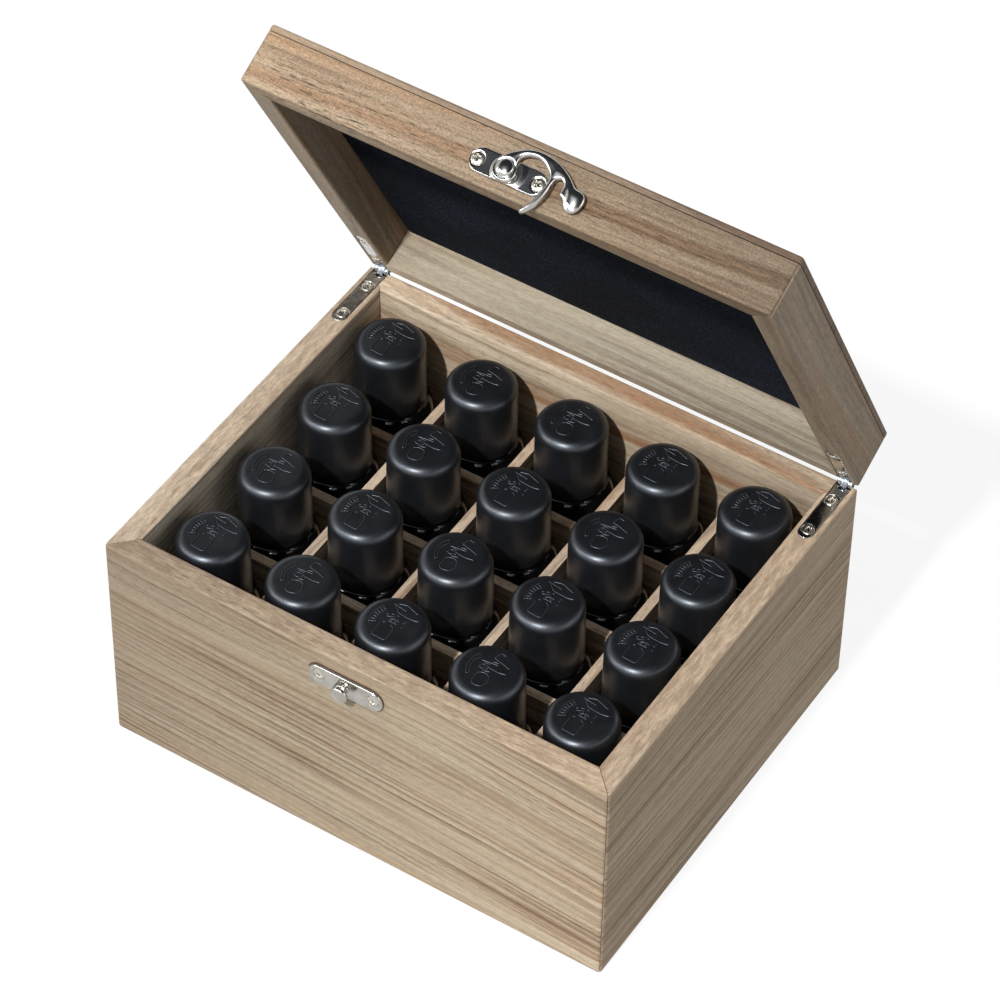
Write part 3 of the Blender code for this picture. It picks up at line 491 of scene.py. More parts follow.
def stroke(path):
    # a half-round raised line: a small D section at evenly spaced points of the path, closed at both ends
    look = strokeLook
    path = np.array(path, float) * mm
    run = np.concatenate([[0], np.cumsum(np.linalg.norm(np.diff(path, axis=0), axis=1))])
    places = np.linspace(0, run[-1], max(2, int(run[-1] / look["step"])) + 1)
    line = np.stack([np.interp(places, run, path[:, k]) for k in (0, 1)], 1)
    for _ in range(look["passes"]):
        line[1:-1] = (line[:-2] + 2 * line[1:-1] + line[2:]) / 4
    ahead = np.gradient(line, axis=0)
    across = np.stack([-ahead[:, 1], ahead[:, 0]], 1) / np.linalg.norm(ahead, axis=1)[:, None]
    angles = np.linspace(0, math.pi, 6)
    offsets = np.concatenate([np.cos(angles), [-1.0, 1.0]]) * look["width"] / 2
    heights = np.concatenate([np.sin(angles) * look["height"], [-look["sink"], -look["sink"]]])
    size = len(offsets)
    flat = line[:, None] + across[:, None] * offsets[None, :, None]
    points = np.concatenate([flat, np.broadcast_to(heights[None, :, None], (*flat.shape[:2], 1))], 2)
    fan = np.arange(1, size - 1)
    front = np.stack([np.zeros(size - 2, int), fan + 1, fan], -1)
    back = np.stack([np.zeros(size - 2, int), fan, fan + 1], -1) + (len(line) - 1) * size
    return points.reshape(-1, 3), ringQuads(len(line), size), np.vstack([front, back])


def motifShape(name):
    # every stroke of one drawing, laid on the top of a cap and down its round edge
    parts = []
    edge = bottleSize["capEdge"]
    for path in motifs[name]:
        points, quads, triangles = stroke(path)
        flat = points[:, :1] * imageRight + points[:, 1:2] * imageUp
        top = bottleSize["capRadius"] * bottleSize["draft"] - edge
        drop = np.clip(np.linalg.norm(flat, axis=1) - top, 0, edge * 0.9)
        sag = edge - np.sqrt(edge ** 2 - drop ** 2)
        parts.append((np.column_stack([flat, bottleSize["height"] - sag + points[:, 2]]), quads, triangles))
    return merged(parts)


glassShape = turned(glassProfile(bottleSize))
capShape = turned(capProfile(bottleSize))
capShapes = {name: merged([capShape, motifShape(name)]) for name in motifs}

for row in range(1, 5):
    for column in range(1, 6):
        node = f"bottle_{row}_{column}"
        low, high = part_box(node)
        shift = np.array([(low[0] + high[0]) / 2, (low[1] + high[1]) / 2, low[2]])
        glassPiece = moved(glassShape, shift)
        addPiece(f"bottleGlass_{row}_{column}", glassPiece, bottleGlass, node, (node,))
        capPiece = moved(capShapes[motifOrder[row - 1].split()[column - 1]], shift)
        addPiece(f"bottleCap_{row}_{column}", capPiece, capPlastic, node)
print("bottles built")


# faces that carry metal, and shapes laid on them

lidFront = {
    "pivot": np.array([-1.3, 11.77, 223.985]) * mm,  # where the hook turns, on the lid's front face
    "right": np.array([1.0, 0.0, 0.0]),
    "up": np.array([0.0, math.sin(hingeAxis["opening"]), math.cos(hingeAxis["opening"])]),
    "out": np.array([0.0, -math.cos(hingeAxis["opening"]), math.sin(hingeAxis["opening"])]),
}
boxFront = {
    "pivot": np.array([-1.3, -75.5, 77.4]) * mm,  # middle of the catch
    "right": np.array([1.0, 0.0, 0.0]), "up": np.array([0.0, 0.0, 1.0]), "out": np.array([0.0, -1.0, 0.0]),
}
hinge = np.array([0, hingeAxis["y"], hingeAxis["z"]])
# on the rims up runs from the pin to the front
lidRim = {"pivot": hinge, "right": lidFront["right"], "up": lidFront["out"], "out": -lidFront["up"]}
boxRim = {"pivot": hinge, "right": -boxFront["right"], "up": boxFront["out"], "out": boxFront["up"]}


def laidOn(face, shape):
    # a shape in (right, up, out) coordinates on a face, moved to its place on the part
    points, *faces = shape
    across = points[:, :1] * face["right"] + points[:, 1:2] * face["up"]
    return face["pivot"] + across + points[:, 2:3] * face["out"], *faces


def sectionLoop(node, face, height, mergeGap=0.002 * mm):
    # the longest outline that a CAD node shows at a height over the face, as (right, up) points
    bm = bmesh.new()
    bm.from_mesh(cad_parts[node].data)
    bmesh.ops.remove_doubles(bm, verts=bm.verts, dist=mergeGap)
    bmesh.ops.bisect_plane(bm, geom=[*bm.verts, *bm.edges, *bm.faces], dist=1e-8,
                           plane_co=Vector(face["pivot"] + face["out"] * height),
                           plane_no=Vector(face["out"]), clear_inner=True, clear_outer=True)
    left, loops = set(bm.verts), []
    while left:
        loop = [min(left, key=lambda vert: tuple(vert.co))]  # the same start in every run
        left.discard(loop[0])
        while True:
            ahead = [e.other_vert(loop[-1]) for e in loop[-1].link_edges]
            ahead = [v for v in ahead if v in left]
            if not ahead:
                break
            left.discard(ahead[0])
            loop.append(ahead[0])
        loops.append(np.array([v.co for v in loop]))
    bm.free()
    longest = max(loops, key=lambda loop: np.linalg.norm(np.diff(loop, axis=0), axis=1).sum())
    away = longest - face["pivot"]
    return np.stack([away @ face["right"], away @ face["up"]], 1)


def evenly(loop, step):
    # a closed loop with points every step, run counter-clockwise
    nextPoint = np.roll(loop, -1, 0)
    area = (loop[:, 0] * nextPoint[:, 1] - nextPoint[:, 0] * loop[:, 1]).sum()
    loop = loop if area > 0 else loop[::-1]
    closed = np.vstack([loop, loop[:1]])
    run = np.concatenate([[0], np.cumsum(np.linalg.norm(np.diff(closed, axis=0), axis=1))])
    places = np.linspace(0, run[-1], int(round(run[-1] / step)) + 1)[:-1]
    return np.stack([np.interp(places, run, closed[:, k]) for k in (0, 1)], 1)


def smoothed(loop, passes):
    # in each pass a point becomes half itself and a quarter of each neighbour
    for _ in range(passes):
        loop = (np.roll(loop, 1, 0) + 2 * loop + np.roll(loop, -1, 0)) / 4
    return loop


def inwardOf(loop):
    # unit vectors to the inside of a counter-clockwise loop, at right angles to its run
    along = np.roll(loop, -1, 0) - np.roll(loop, 1, 0)
    return np.stack([-along[:, 1], along[:, 0]], 1) / np.linalg.norm(along, axis=1)[:, None]


def distanceTo(points, loop):
    # (distance to a closed loop, whether inside it) of many points
    start, end = loop, np.roll(loop, -1, 0)
    span = end - start
    away = points[:, None] - start[None]
    share = np.clip((away * span).sum(-1) / (span ** 2).sum(-1), 0, 1)
    gaps = np.linalg.norm(away - share[..., None] * span, axis=-1).min(1)
    crosses = (start[None, :, 1] > points[:, None, 1]) != (end[None, :, 1] > points[:, None, 1])
    with np.errstate(divide="ignore", invalid="ignore"):
        meets = start[:, 0] + (points[:, None, 1] - start[:, 1]) * span[:, 0] / span[:, 1]
    inside = (crosses & (points[:, None, 0] < meets)).sum(1) % 2 == 1
    return gaps, inside


# spacing along the edge, rings inside it, then a grid that keeps its margin from the edge
plateMesh = {"step": 0.17 * mm, "insets": (0.05 * mm, 0.13 * mm, 0.25 * mm, 0.40 * mm), "grid": 0.30 * mm,
             "margin": 0.55 * mm}


def castPiece(loop, surfaces, step=plateMesh["step"]):
    # a closed solid over an outline: rings of points follow the edge, a grid fills the middle, and
    # surfaces(points, distance from the edge) gives the upper and lower heights, equal at the edge
    loop = evenly(loop, step)
    rings, inward = [loop], inwardOf(loop)
    for inset in plateMesh["insets"]:
        ring = loop + inward * inset
        gaps, inside = distanceTo(ring, loop)
        rings.append(ring[inside & (gaps > inset * 0.93)])  # none where the outline turns back on itself
    grid = plateMesh["grid"]
    low, high = loop.min(0), loop.max(0)
    u, v = np.meshgrid(np.arange(low[0], high[0], grid), np.arange(low[1], high[1], grid))
    u = u + (np.arange(len(u)) % 2)[:, None] * grid / 2
    fill = np.stack([u.ravel(), v.ravel()], 1)
    gaps, inside = distanceTo(fill, loop)
    rings.append(fill[inside & (gaps > plateMesh["margin"])])
    count = len(loop)
    edges = [(i, (i + 1) % count) for i in range(count)]
    corners = [Vector(p / mm) for p in np.vstack(rings)]
    kept, _, faces, origins, _, _ = delaunay_2d_cdt(corners, edges, [], 1, 1e-6)
    flat = np.array([tuple(p) for p in kept]) * mm
    onEdge = np.array([any(o < count for o in origin) for origin in origins])
    faces = np.array([tuple(f) for f in faces])
    gaps, _ = distanceTo(flat, loop)
    gaps[onEdge] = 0
    upper, lower = surfaces(flat, gaps)
    lower[onEdge] = upper[onEdge]
    under = np.where(onEdge, np.arange(len(flat)), len(flat) + np.cumsum(~onEdge) - 1)
    points = np.vstack([np.column_stack([flat, upper]), np.column_stack([flat, lower])[~onEdge]])
    return points, np.zeros((0, 4), int), np.vstack([faces, under[faces][:, ::-1]])


def rounding(gaps, width):
    # 0 at the edge to 1 at that width from it, along a quarter of an ellipse
    return np.sqrt(1 - (1 - np.clip(gaps / width, 0, 1)) ** 2)


def ease(value, low, high):
    # 0 below low to 1 above high, level at both ends
    share = np.clip((value - low) / (high - low), 0, 1)
    return share * share * (3 - 2 * share)


def stadiumLoop(length, width, middle=0.0):
    # two half circles joined by straight sides
    reach, radius = (length - width) / 2, width / 2
    ends = [arcPoints((middle + s * reach, 0), radius, math.pi * (0.5 if s < 0 else -0.5),
                      math.pi * (1.5 if s < 0 else 0.5), 24) for s in (1, -1)]
    return np.array(ends[0] + ends[1])


# the latch's hook, cast

hookLook = {
    "sectionAt": 2.25 * mm, "outlineStep": 0.12 * mm, "outlinePasses": 12,
    "back": 1.4 * mm, "front": 3.1 * mm, "waist": 0.42, "edge": 0.95 * mm, "backEdge": 0.35 * mm,
    "dome": 0.26 * mm, "domeReach": (0.2 * mm, 3.0 * mm),
    "dish": 0.45 * mm, "dishRadii": (2.8 * mm, 3.7 * mm),
    "fingerFrom": (12.2 * mm, 13.2 * mm), "fingerTo": (15.7 * mm, 16.3 * mm), "fingerAngles": (0.02, 0.20),
    "fingerRise": 0.50 * mm, "fingerWidth": 1.25 * mm,
    "thumbFrom": (20.4 * mm, 23.6 * mm), "thumbDome": 0.40 * mm, "thumbWidth": 3.3 * mm,
    "thumbTilt": (-0.07, 0.11), "thumbTiltFrom": 22.4 * mm,
}


def hookSurfaces(points, gaps):
    # rounded edges round a nearly flat top; the finger is a raised round rod, the thumb tab a tilted dome,
    # and the boss is dished round the rivet
    look = hookLook
    reach = np.linalg.norm(points, axis=1)
    angle = np.arctan2(points[:, 1], points[:, 0])
    finger = (1 - ease(reach, *look["fingerTo"])) * ease(reach, *look["fingerFrom"])
    finger = finger * (1 - ease(angle, *look["fingerAngles"]))
    thumb = ease(points[:, 0], *look["thumbFrom"])
    width = look["edge"] + finger * (look["fingerWidth"] - look["edge"])
    width = width + thumb * (look["thumbWidth"] - look["edge"])
    thumbRound = thumb * rounding(gaps, look["thumbWidth"])
    waist = look["back"] + (look["front"] - look["back"]) * look["waist"]
    top = waist + (look["front"] - waist) * rounding(gaps, width)
    top = top + look["dome"] * ease(gaps, *look["domeReach"]) * (1 - thumb)
    top = top + look["fingerRise"] * finger * rounding(gaps, look["fingerWidth"])
    middleOfThumb = points[points[:, 0] > look["thumbTiltFrom"]].mean(0)
    top = top + thumbRound * (look["thumbDome"] + (points - middleOfThumb) @ np.array(look["thumbTilt"]))
    top = top - look["dish"] * (1 - ease(reach, *look["dishRadii"]))
    bottom = waist - (waist - look["back"]) * rounding(gaps, look["backEdge"])
    return top, bottom


hookLoop = evenly(sectionLoop("latch_hook", lidFront, hookLook["sectionAt"]), hookLook["outlineStep"])
hookShape = castPiece(smoothed(hookLoop, hookLook["outlinePasses"]), hookSurfaces)
addPiece("latchHookCast", laidOn(lidFront, hookShape), nickel, "hook", ("latch_hook",))


# the two plates on the front, pressed

latchLook = {
    "outline": (26.4 * mm, 8.3 * mm, 0.5 * mm),  # length, width, middle from the rivet
    "face": 0.8 * mm, "back": 0.05 * mm, "low": 0.08 * mm, "edge": 0.42 * mm,
    "step": 0.50 * mm, "stepEdge": 0.5 * mm,  # the raised middle and where its slopes lie on each side
    "stepLeft": (4.3 * mm, 5.0 * mm), "stepRight": (5.2 * mm, 6.85 * mm), "stepTurn": (-1.5 * mm, 2.5 * mm),
    "screws": [(-10.05 * mm, 0), (11.05 * mm, 0)], "sink": 0.34 * mm, "sinkRadii": (2.15 * mm, 2.55 * mm),
    "head": 0.62 * mm,  # the screw heads' height over the wood
}
catchLook = {
    "outline": (27.4 * mm, 8.5 * mm),
    "face": 1.15 * mm, "back": 0.05 * mm, "low": 0.08 * mm, "edge": 0.55 * mm,
    "screws": [(-10.0 * mm, 0), (10.0 * mm, 0)], "sink": 0.62 * mm, "sinkRadii": (2.15 * mm, 2.55 * mm),
    "head": 0.44 * mm,
}
shadeLineLook = {  # painted shadow: a dark film a little wider than the catch plate and set a little higher, thinning to its edge, where the gap over the plate lies in shade
    "outline": (27.9 * mm, 8.9 * mm), "shift": (-0.1 * mm, 0.32 * mm, 0), "spacing": 0.25 * mm,
    "face": 0.07 * mm, "back": 0.01 * mm, "low": 0.02 * mm, "edge": 0.3 * mm, "screws": [],
}


def plateSurfaces(look):
    # from low at the edge up to the face along a rounding, plus the raised step, less a sink round each screw
    def surfaces(points, gaps):
        top = look["low"] + (look["face"] - look["low"]) * rounding(gaps, look["edge"])
        if "step" in look:  # level out to the inner radius, then sloping down to the outer one
            side = ease(points[:, 0], *look["stepTurn"])
            inner, outer = [left + (right - left) * side
                            for left, right in zip(look["stepLeft"], look["stepRight"])]
            raised = 1 - np.clip((np.linalg.norm(points, axis=1) - inner) / (outer - inner), 0, 1)
            top = top + look["step"] * raised * rounding(gaps, look["stepEdge"])
        for place in look["screws"]:
            top = top - look["sink"] * (1 - ease(np.linalg.norm(points - place, axis=1), *look["sinkRadii"]))
        return top, np.full(len(points), look["back"])
    return surfaces


latchPlate = castPiece(stadiumLoop(*latchLook["outline"]), plateSurfaces(latchLook))
addPiece("latchPlatePressed", laidOn(lidFront, latchPlate), nickel, "lid", ("latch_plate",))

# (radius, height) in mm: a shank through the hook's boss, a flange and a domed head
rivetDome = arcPoints((0, 3.05), (2.95, 1.25), 0.05, math.pi / 2 * 0.97, 13)
rivetShape = turned(np.array([(0, 1.0), (1.5, 1.0), (1.5, 2.4), (2.95, 2.5), (3.05, 2.7), (3.02, 2.95),
                              *rivetDome, (0, 4.3)]) * mm)
addPiece("latchRivetDomed", laidOn(lidFront, rivetShape), nickel, "lid", ("latch_rivet",))

# the catch's button: a foot, a neck that the slot runs round, and a head with a rounded edge
buttonProfile = np.array([
    (0, 0.4), (1.9, 0.4), (1.9, 0.95), (1.45, 1.3), (1.4, 1.6), (1.4, 3.4), (1.5, 3.62), (2.7, 3.7),
    (2.98, 3.8), (3.05, 4.0), *arcPoints((2.05, 4.1), 1.0, 0.10, math.pi / 2, 12), (1.0, 5.13), (0, 5.15),
]) * mm
finLook = {"left": -2.85 * mm, "half": 1.3 * mm, "low": 0.7 * mm, "high": 3.72 * mm}
# the stud's stem runs on to the left under the button, along the slot's path
fin = prism([(finLook["left"], -finLook["half"]), (0, -finLook["half"]), (0, finLook["half"]),
             (finLook["left"], finLook["half"])], finLook["low"], finLook["high"])
catchPlate = castPiece(stadiumLoop(*catchLook["outline"]), plateSurfaces(catchLook))
catchPlate = laidOn(boxFront, merged([catchPlate, turned(buttonProfile), fin]))
# a painted shadow: the gap over the top of the catch plate, dark as if in shade
shadeLine = castPiece(stadiumLoop(*shadeLineLook["outline"]), plateSurfaces(shadeLineLook), shadeLineLook["spacing"])
addPiece("catchDirtLine", laidOn(boxFront, moved(shadeLine, shadeLineLook["shift"])), glue, "box")
addPiece("catchPlatePressed", catchPlate, satinNickel, "box", ("catch_plate",))


# hinges

leafLook = {
    "line": 88.1 * mm, "width": 5.0 * mm, "length": 28.0 * mm,
    "face": -0.2 * mm, "back": -1.6 * mm, "low": -0.48 * mm, "edge": 0.28 * mm,
    "screws": [(0, 23.9 * mm), (0, 9.1 * mm)], "sink": 0.42 * mm, "sinkRadii": (2.15 * mm, 2.45 * mm),
    "head": -0.60 * mm, "lowerEnd": 2.35 * mm, "upperEnd": 2.15 * mm, "notch": (1.2 * mm, 3.5 * mm),
    "blockHalf": 1.1 * mm, "blockRadius": 2.0 * mm, "blockBulge": 0.28 * mm, "earStart": 1.2 * mm,
    "earRadius": 1.9 * mm, "bevel": 0.14 * mm,
}


def leafLoop(end, notch=None):
    # rounded front end, square rear end, with a notch in front of the block on the lower leaf
    half = leafLook["width"] / 2
    loop = arcPoints((0, leafLook["length"] - half), half, 0, math.pi, 24) + [(-half, end)]
    if notch:
        loop += [(-notch[0], end), (-notch[0], notch[1]), (notch[0], notch[1]), (notch[0], end)]
    return np.array(loop + [(half, end)])


def bar(outline, start, end, bevel=leafLook["bevel"]):
    # a solid bar along X with the given (back, up) outline, its two end edges bevelled
    small = outline + inwardOf(outline) * bevel
    rings = [(start, small), (start + bevel, outline), (end - bevel, outline), (end, small)]
    count = len(outline)
    points = np.vstack([np.column_stack([np.full(count, x), ring]) for x, ring in rings])
    ends = delaunay_2d_cdt([Vector(p / mm) for p in small], [], [list(range(count))], 1, 1e-9)[2]
    ends = np.array([tuple(f) for f in ends])
    ends = np.vstack([ends[:, ::-1], ends + count * (len(rings) - 1)])
    return points, ringQuads(len(rings), count)[:, ::-1], ends


def blockOutline():
    # side of the middle knuckle: round behind and on top, a bulging front face, a thin tongue to the plate
    rear = arcPoints((0, 0), leafLook["blockRadius"], math.radians(-60), math.radians(112), 14)
    share = np.linspace(0, 1, 9)[1:, None]
    start, end = np.array(rear[-1]), np.array([-2.6, -1.4]) * mm
    outward = np.array([-0.88, 0.475])
    face = start + (end - start) * share + outward * leafLook["blockBulge"] * np.sin(math.pi * share)
    return np.vstack([rear, face, np.array([(-4.4, -1.4), (-4.4, -1.58), (-0.4, -1.95)]) * mm])


def earOutline():
    # an eye round the pin with an arm to the upper plate, in the shut lid's frame
    eye = arcPoints((0, 0), leafLook["earRadius"], math.radians(-185), math.radians(57), 20)
    return np.vstack([eye, np.array([(-3.6, 1.6), (-3.6, 0.25)]) * mm])


def openedLid(shape):
    # a shape drawn about the pin in the shut lid's frame, turned with the lid
    points, *faces = shape
    cosine, sine = math.cos(hingeAxis["opening"]), math.sin(hingeAxis["opening"])
    back, up = points[:, 1], points[:, 2]
    return np.column_stack([points[:, 0], back * cosine + up * sine, -back * sine + up * cosine]), *faces


for side, x, plateMetal in (("left", -leafLook["line"], wornNickelAndWoodReflection), ("right", leafLook["line"], nickel)):
    look = leafLook
    lower = castPiece(leafLoop(look["lowerEnd"], look["notch"]), plateSurfaces(look))
    addPiece(f"{side}LowerPlate", moved(laidOn(boxRim, lower), (x, 0, 0)), plateMetal, "box",
             (f"{side}_lower_leaf",))
    block = bar(blockOutline(), -look["blockHalf"], look["blockHalf"])
    addPiece(f"{side}Block", moved(block, hinge + (x, 0, 0)), knuckleNickel, "box")
    upper = castPiece(leafLoop(look["upperEnd"]), plateSurfaces(look))
    addPiece(f"{side}UpperPlate", moved(laidOn(lidRim, upper), (x, 0, 0)), nickel, "lid",
             (f"{side}_upper_leaf",))
    ears = [bar(earOutline(), *ends) for ends in ((-look["width"] / 2, -look["earStart"]),
                                                  (look["earStart"], look["width"] / 2))]
    ears = moved(openedLid(merged(ears)), hinge + (x, 0, 0))
    addPiece(f"{side}Ears", ears, castNickel, "lid")


# screw heads

screwLook = {
    "radius": 2.1 * mm, "crown": 0.34 * mm, "rim": 0.20 * mm, "rimWidth": 0.3 * mm, "skirt": 0.6 * mm,
    "recess": 0.70 * mm, "barHalf": 0.95 * mm, "barWidth": 0.20 * mm, "slope": 0.26 * mm,
}


def screwHead(turn, segments=72, rows=30):
    # domed head on a polar grid: height = crown arc, less a cross recess with sloping walls
    look = screwLook
    radii = look["radius"] * (np.linspace(0, 1, rows + 1)[1:] ** 0.85)
    angles = np.arange(segments) * math.tau / segments
    r, a = np.meshgrid(radii, angles, indexing="ij")
    u, v = r * np.cos(a), r * np.sin(a)
    height = look["crown"] * (1 - (r / look["radius"]) ** 2)
    height = height + look["rim"] * rounding(look["radius"] - r, look["rimWidth"])
    along, across = u * math.cos(turn) + v * math.sin(turn), v * math.cos(turn) - u * math.sin(turn)
    cross = np.zeros_like(u)
    slope = look["slope"]
    for p, q in ((along, across), (across, along)):
        inBar = 1 - ease(np.abs(q), look["barWidth"], look["barWidth"] + slope)
        inBar = inBar * (1 - ease(np.abs(p), look["barHalf"] - slope, look["barHalf"] + slope))
        cross = np.maximum(cross, inBar)
    ring = np.stack([u, v, height - look["recess"] * cross], -1).reshape(-1, 3)
    skirt = np.stack([look["radius"] * np.cos(angles), look["radius"] * np.sin(angles),
                      np.full(segments, -look["skirt"])], -1)
    points = np.vstack([[(0, 0, look["crown"] + look["rim"] - look["recess"])], ring, skirt,
                        [(0, 0, -look["skirt"])]])
    quads = ringQuads(rows + 1, segments)[:, [0, 3, 2, 1]] + 1
    first = poleFan(0, 1, segments)[:, [0, 2, 1]]
    final = poleFan(len(points) - 1, rows * segments + 1, segments)
    return points, quads, np.vstack([first, final])


heads = []  # node, body, face, (right, up, out)
for part, look, body, face in (("latch", latchLook, "lid", lidFront), ("catch", catchLook, "box", boxFront)):
    for number, place in enumerate(look["screws"], 1):
        heads.append((f"{part}_screw_{number}", body, face, (*place, look["head"])))
for side, x in (("left", leafLook["line"]), ("right", -leafLook["line"])):
    for number, (_, distance) in enumerate(leafLook["screws"], 1):
        heads.append((f"{side}_lower_screw_{number}", "box", boxRim, (x, distance, leafLook["head"])))
        heads.append((f"{side}_upper_screw_{number}", "lid", lidRim, (-x, distance, leafLook["head"])))
screwTurns = [0.35, 1.1, 0.7, 0.15, 1.3, 0.5, 0.9, 0.25, 0.6, 1.2, 0.4, 0.8]  # each cross stands its own way
for (node, body, face, place), turn in zip(heads, screwTurns):
    label = "head" + "".join(word.title() for word in node.split("_"))
    addPiece(label, laidOn(face, moved(screwHead(turn), place)), screwNickel, body, (node,))
print("latch, catch, hinges and screws built")


# glue lines in the mitres

glueLook = {
    "half": np.array([92.5, 75.5]) * mm, "wall": 8.6 * mm, "thickness": 0.26 * mm, "inset": 0.65 * mm,
    "overlap": 0.05 * mm, "pocket": 3.0 * mm,  # the sheets stop short of the hinges' pockets
    "box": (1.2 * mm, 86.8 * mm), "lid": (0.6 * mm, 15.0 * mm), "lidLift": 0.2 * mm,
}


def glueLine(corner, low, high):
    # an upright sheet along the mitre of one corner, a little inside the wood on every side
    look = glueLook
    outer = corner * (look["half"] - look["inset"])
    inner = corner * (look["half"] - look["wall"] + look["overlap"])
    across = np.array([-corner[1], corner[0]]) * look["thickness"] / 2 / math.sqrt(2)
    return prism([outer - across, inner - across, inner + across, outer + across], low, high)


boxGlue, lidGlue = [], []
for corner in np.array([(1, 1), (1, -1), (-1, -1), (-1, 1)]):
    pocket = glueLook["pocket"] if corner[1] > 0 else 0
    boxGlue.append(glueLine(corner, glueLook["box"][0], glueLook["box"][1] - pocket))
    lidGlue.append(glueLine(corner, glueLook["lid"][0] + pocket, glueLook["lid"][1]))
addPiece("glueBoxMitres", merged(boxGlue), glue, "box")
lidGlue = openedLid(moved(merged(lidGlue), (0, -hingeAxis["y"], glueLook["lidLift"])))
addPiece("glueLidMitres", moved(lidGlue, hinge), glue, "lid")
print("glue lines built")


# camera

cameraLook = {  # found together with the box's size, from corners that the photo shows
    "lens": 160.28, "place": (0.5061, -0.8060, 1.1117),
    "right": (0.8422, 0.53902, 0.0129), "forward": (-0.3603, 0.58043, -0.73026),
    "sensor": 36.0, "clipEnd": 20,
}
scene = bpy.context.scene
scene.view_settings.view_transform = "Standard"


def placed(name, data):
    # a new object in the scene
    thing = bpy.data.objects.new(name, data)
    scene.collection.objects.link(thing)
    return thing


camera = placed("camera", bpy.data.cameras.new("camera"))
camera.data.lens = cameraLook["lens"]
camera.data.sensor_width = cameraLook["sensor"]
camera.data.clip_end = cameraLook["clipEnd"]
viewForward = Vector(cameraLook["forward"]).normalized()
viewUp = Vector(cameraLook["right"]).normalized().cross(viewForward).normalized()
viewTurn = Matrix((viewForward.cross(viewUp).normalized(), viewUp, -viewForward)).transposed().to_4x4()
camera.matrix_world = Matrix.Translation(cameraLook["place"]) @ viewTurn
scene.camera = camera


# floor, panels that only metal and gloss show, lamps and world

lightLook = {
    "key": 3.15, "keyAngle": 2.5, "keyFrom": (-0.02, -0.62, 0.79), "ambient": 0.27,  # angle in degrees
    "leftSoftbox": {"power": 6.0, "size": (0.7, 0.5), "place": (-1.1, -0.8, 0.7)},
    "rightSoftbox": {"power": 1.8, "size": (0.9, 0.6), "place": (1.3, 0.1, 0.75)},
    "aim": (0, 0, 0.08),
}
floorLook = {"half": 4.0, "drop": 0.05 * mm, "white": 0.89, "colour": "#949494",
             "seen": (0.95, 0.95, 0.95, 1)}
ceilingLook = {"grey": 0.045, "window": 1.5, "windowAt": (-0.45, -1.40, 2.4), "reach": 1.3, "size": 5.0,
               "place": (0, 0.6, 2.4), "colour": (0.84, 0.92, 1, 1)}
stripLook = {"place": (-0.42, -1.42, 1.46), "width": 2.1, "height": 0.26, "strength": 15.0,
             "colour": (0.88, 0.94, 1, 1), "aim": (0, 0, 0.1)}


def towards(direction):
    # the turn that points Z along a direction
    return Vector(direction).to_track_quat("Z", "Y").to_euler()


def squareMesh(name, half):
    # a flat square about the origin
    corners = [(-half, -half, 0), (half, -half, 0), (half, half, 0), (-half, half, 0)]
    return buildMesh(name, corners, [(0, 1, 2, 3)], [])


def backgroundRays(tree):
    # 1 for the rays that see the white background: from the camera, off metal or gloss, and through glass
    path = addNode(tree, "LightPath").node.outputs
    other = addNode(tree, "Math", [path["Is Glossy Ray"], path["Is Transmission Ray"]], operation="MAXIMUM")
    return path["Is Camera Ray"], addNode(tree, "Math", [path["Is Camera Ray"], other], operation="MAXIMUM")


def addPanel(name, look, size, facing):
    # a glowing stage panel that only reflections see; gives it with its node tree and its glow
    material, tree, _ = newMaterial(name)
    glow = addNode(tree, "Emission", {"Color": look["colour"]})
    tree.links.new(glow, tree.nodes["Material Output"].inputs["Surface"])
    panel = placed(name, squareMesh(name, size / 2))
    panel.data.materials.append(material)
    panel.rotation_euler = towards(facing)
    panel.location = look["place"]
    panel.visible_camera = False
    panel.visible_diffuse = False
    panel.visible_shadow = False
    return panel, tree, glow.node


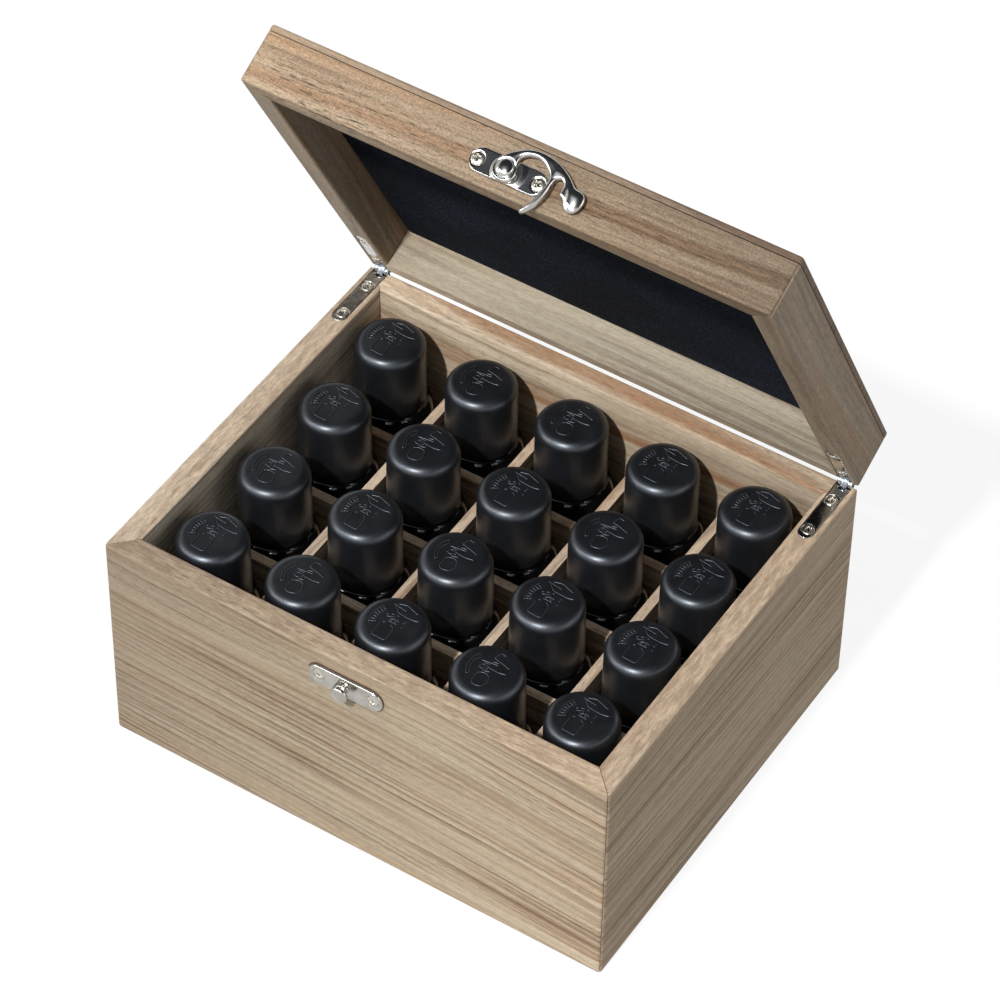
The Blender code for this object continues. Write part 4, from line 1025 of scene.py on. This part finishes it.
# matt paper with a white glow for the rays that see the background; lamps still shade the rest
floorMaterial, tree, shader = newMaterial("floorPaper")
cameraRays, seen = backgroundRays(tree)
paper = toned(tree, cameraRays, 0.0, 1.0, floorLook["colour"], floorLook["seen"])
setInputs(tree, shader, {"Roughness": 0.9, "Base Color": paper})
glow = addNode(tree, "Emission", {"Color": (1, 1, 1, 1), "Strength": 1.0})
blend = addNode(tree, "MixShader", [multiplied(tree, seen, floorLook["white"]), shader.outputs[0], glow])
tree.links.new(blend, tree.nodes["Material Output"].inputs["Surface"])
floorMesh = squareMesh("floor", floorLook["half"])
floorMesh.transform(Matrix.Translation((0, 0, -floorLook["drop"])))
floor = placed("floor", floorMesh)
floor.data.materials.append(floorMaterial)

# the ceiling is dark and grows brighter towards a window above the front
_, tree, glow = addPanel("ceilingSeenInMetal", ceilingLook, ceilingLook["size"], (0, 0, -1))
away = addNode(tree, "VectorMath", [addNode(tree, "NewGeometry", output="Position"), ceilingLook["windowAt"]],
               "Value", operation="DISTANCE")
near = addNode(tree, "MapRange", [away, 0.0, ceilingLook["reach"], 1.0, 0.0])
near = addNode(tree, "Math", [near, 2.0], operation="POWER")
light = addNode(tree, "MapRange", [near, 0.0, 1.0, ceilingLook["grey"], ceilingLook["window"]])
setInputs(tree, glow, {"Strength": light})

stripFacing = Vector(stripLook["aim"]) - Vector(stripLook["place"])
strip, tree, glow = addPanel("stripSeenInGloss", stripLook, 1.0, stripFacing)
strip.scale = (stripLook["width"], stripLook["height"], 1)
setInputs(tree, glow, {"Strength": stripLook["strength"]})

key = bpy.data.lights.new("keySun", "SUN")
key.energy = lightLook["key"]
key.angle = math.radians(lightLook["keyAngle"])
placed("keySun", key).rotation_euler = towards(lightLook["keyFrom"])

for name in ("leftSoftbox", "rightSoftbox"):
    look = lightLook[name]
    lamp = placed(name, bpy.data.lights.new(name, "AREA"))
    lamp.data.shape = "RECTANGLE"
    lamp.data.size, lamp.data.size_y = look["size"]
    lamp.data.energy = look["power"]
    lamp.location = look["place"]
    lamp.rotation_euler = towards(Vector(look["place"]) - Vector(lightLook["aim"]))

world = bpy.data.worlds.new("studio")
scene.world = world
world.use_nodes = True
tree = world.node_tree
_, seen = backgroundRays(tree)
glow = addNode(tree, "MapRange", [seen, 0.0, 1.0, lightLook["ambient"], 1.0])
setInputs(tree, tree.nodes["Background"], {"Color": (1, 1, 1, 1), "Strength": glow})
print("camera, floor and light set")
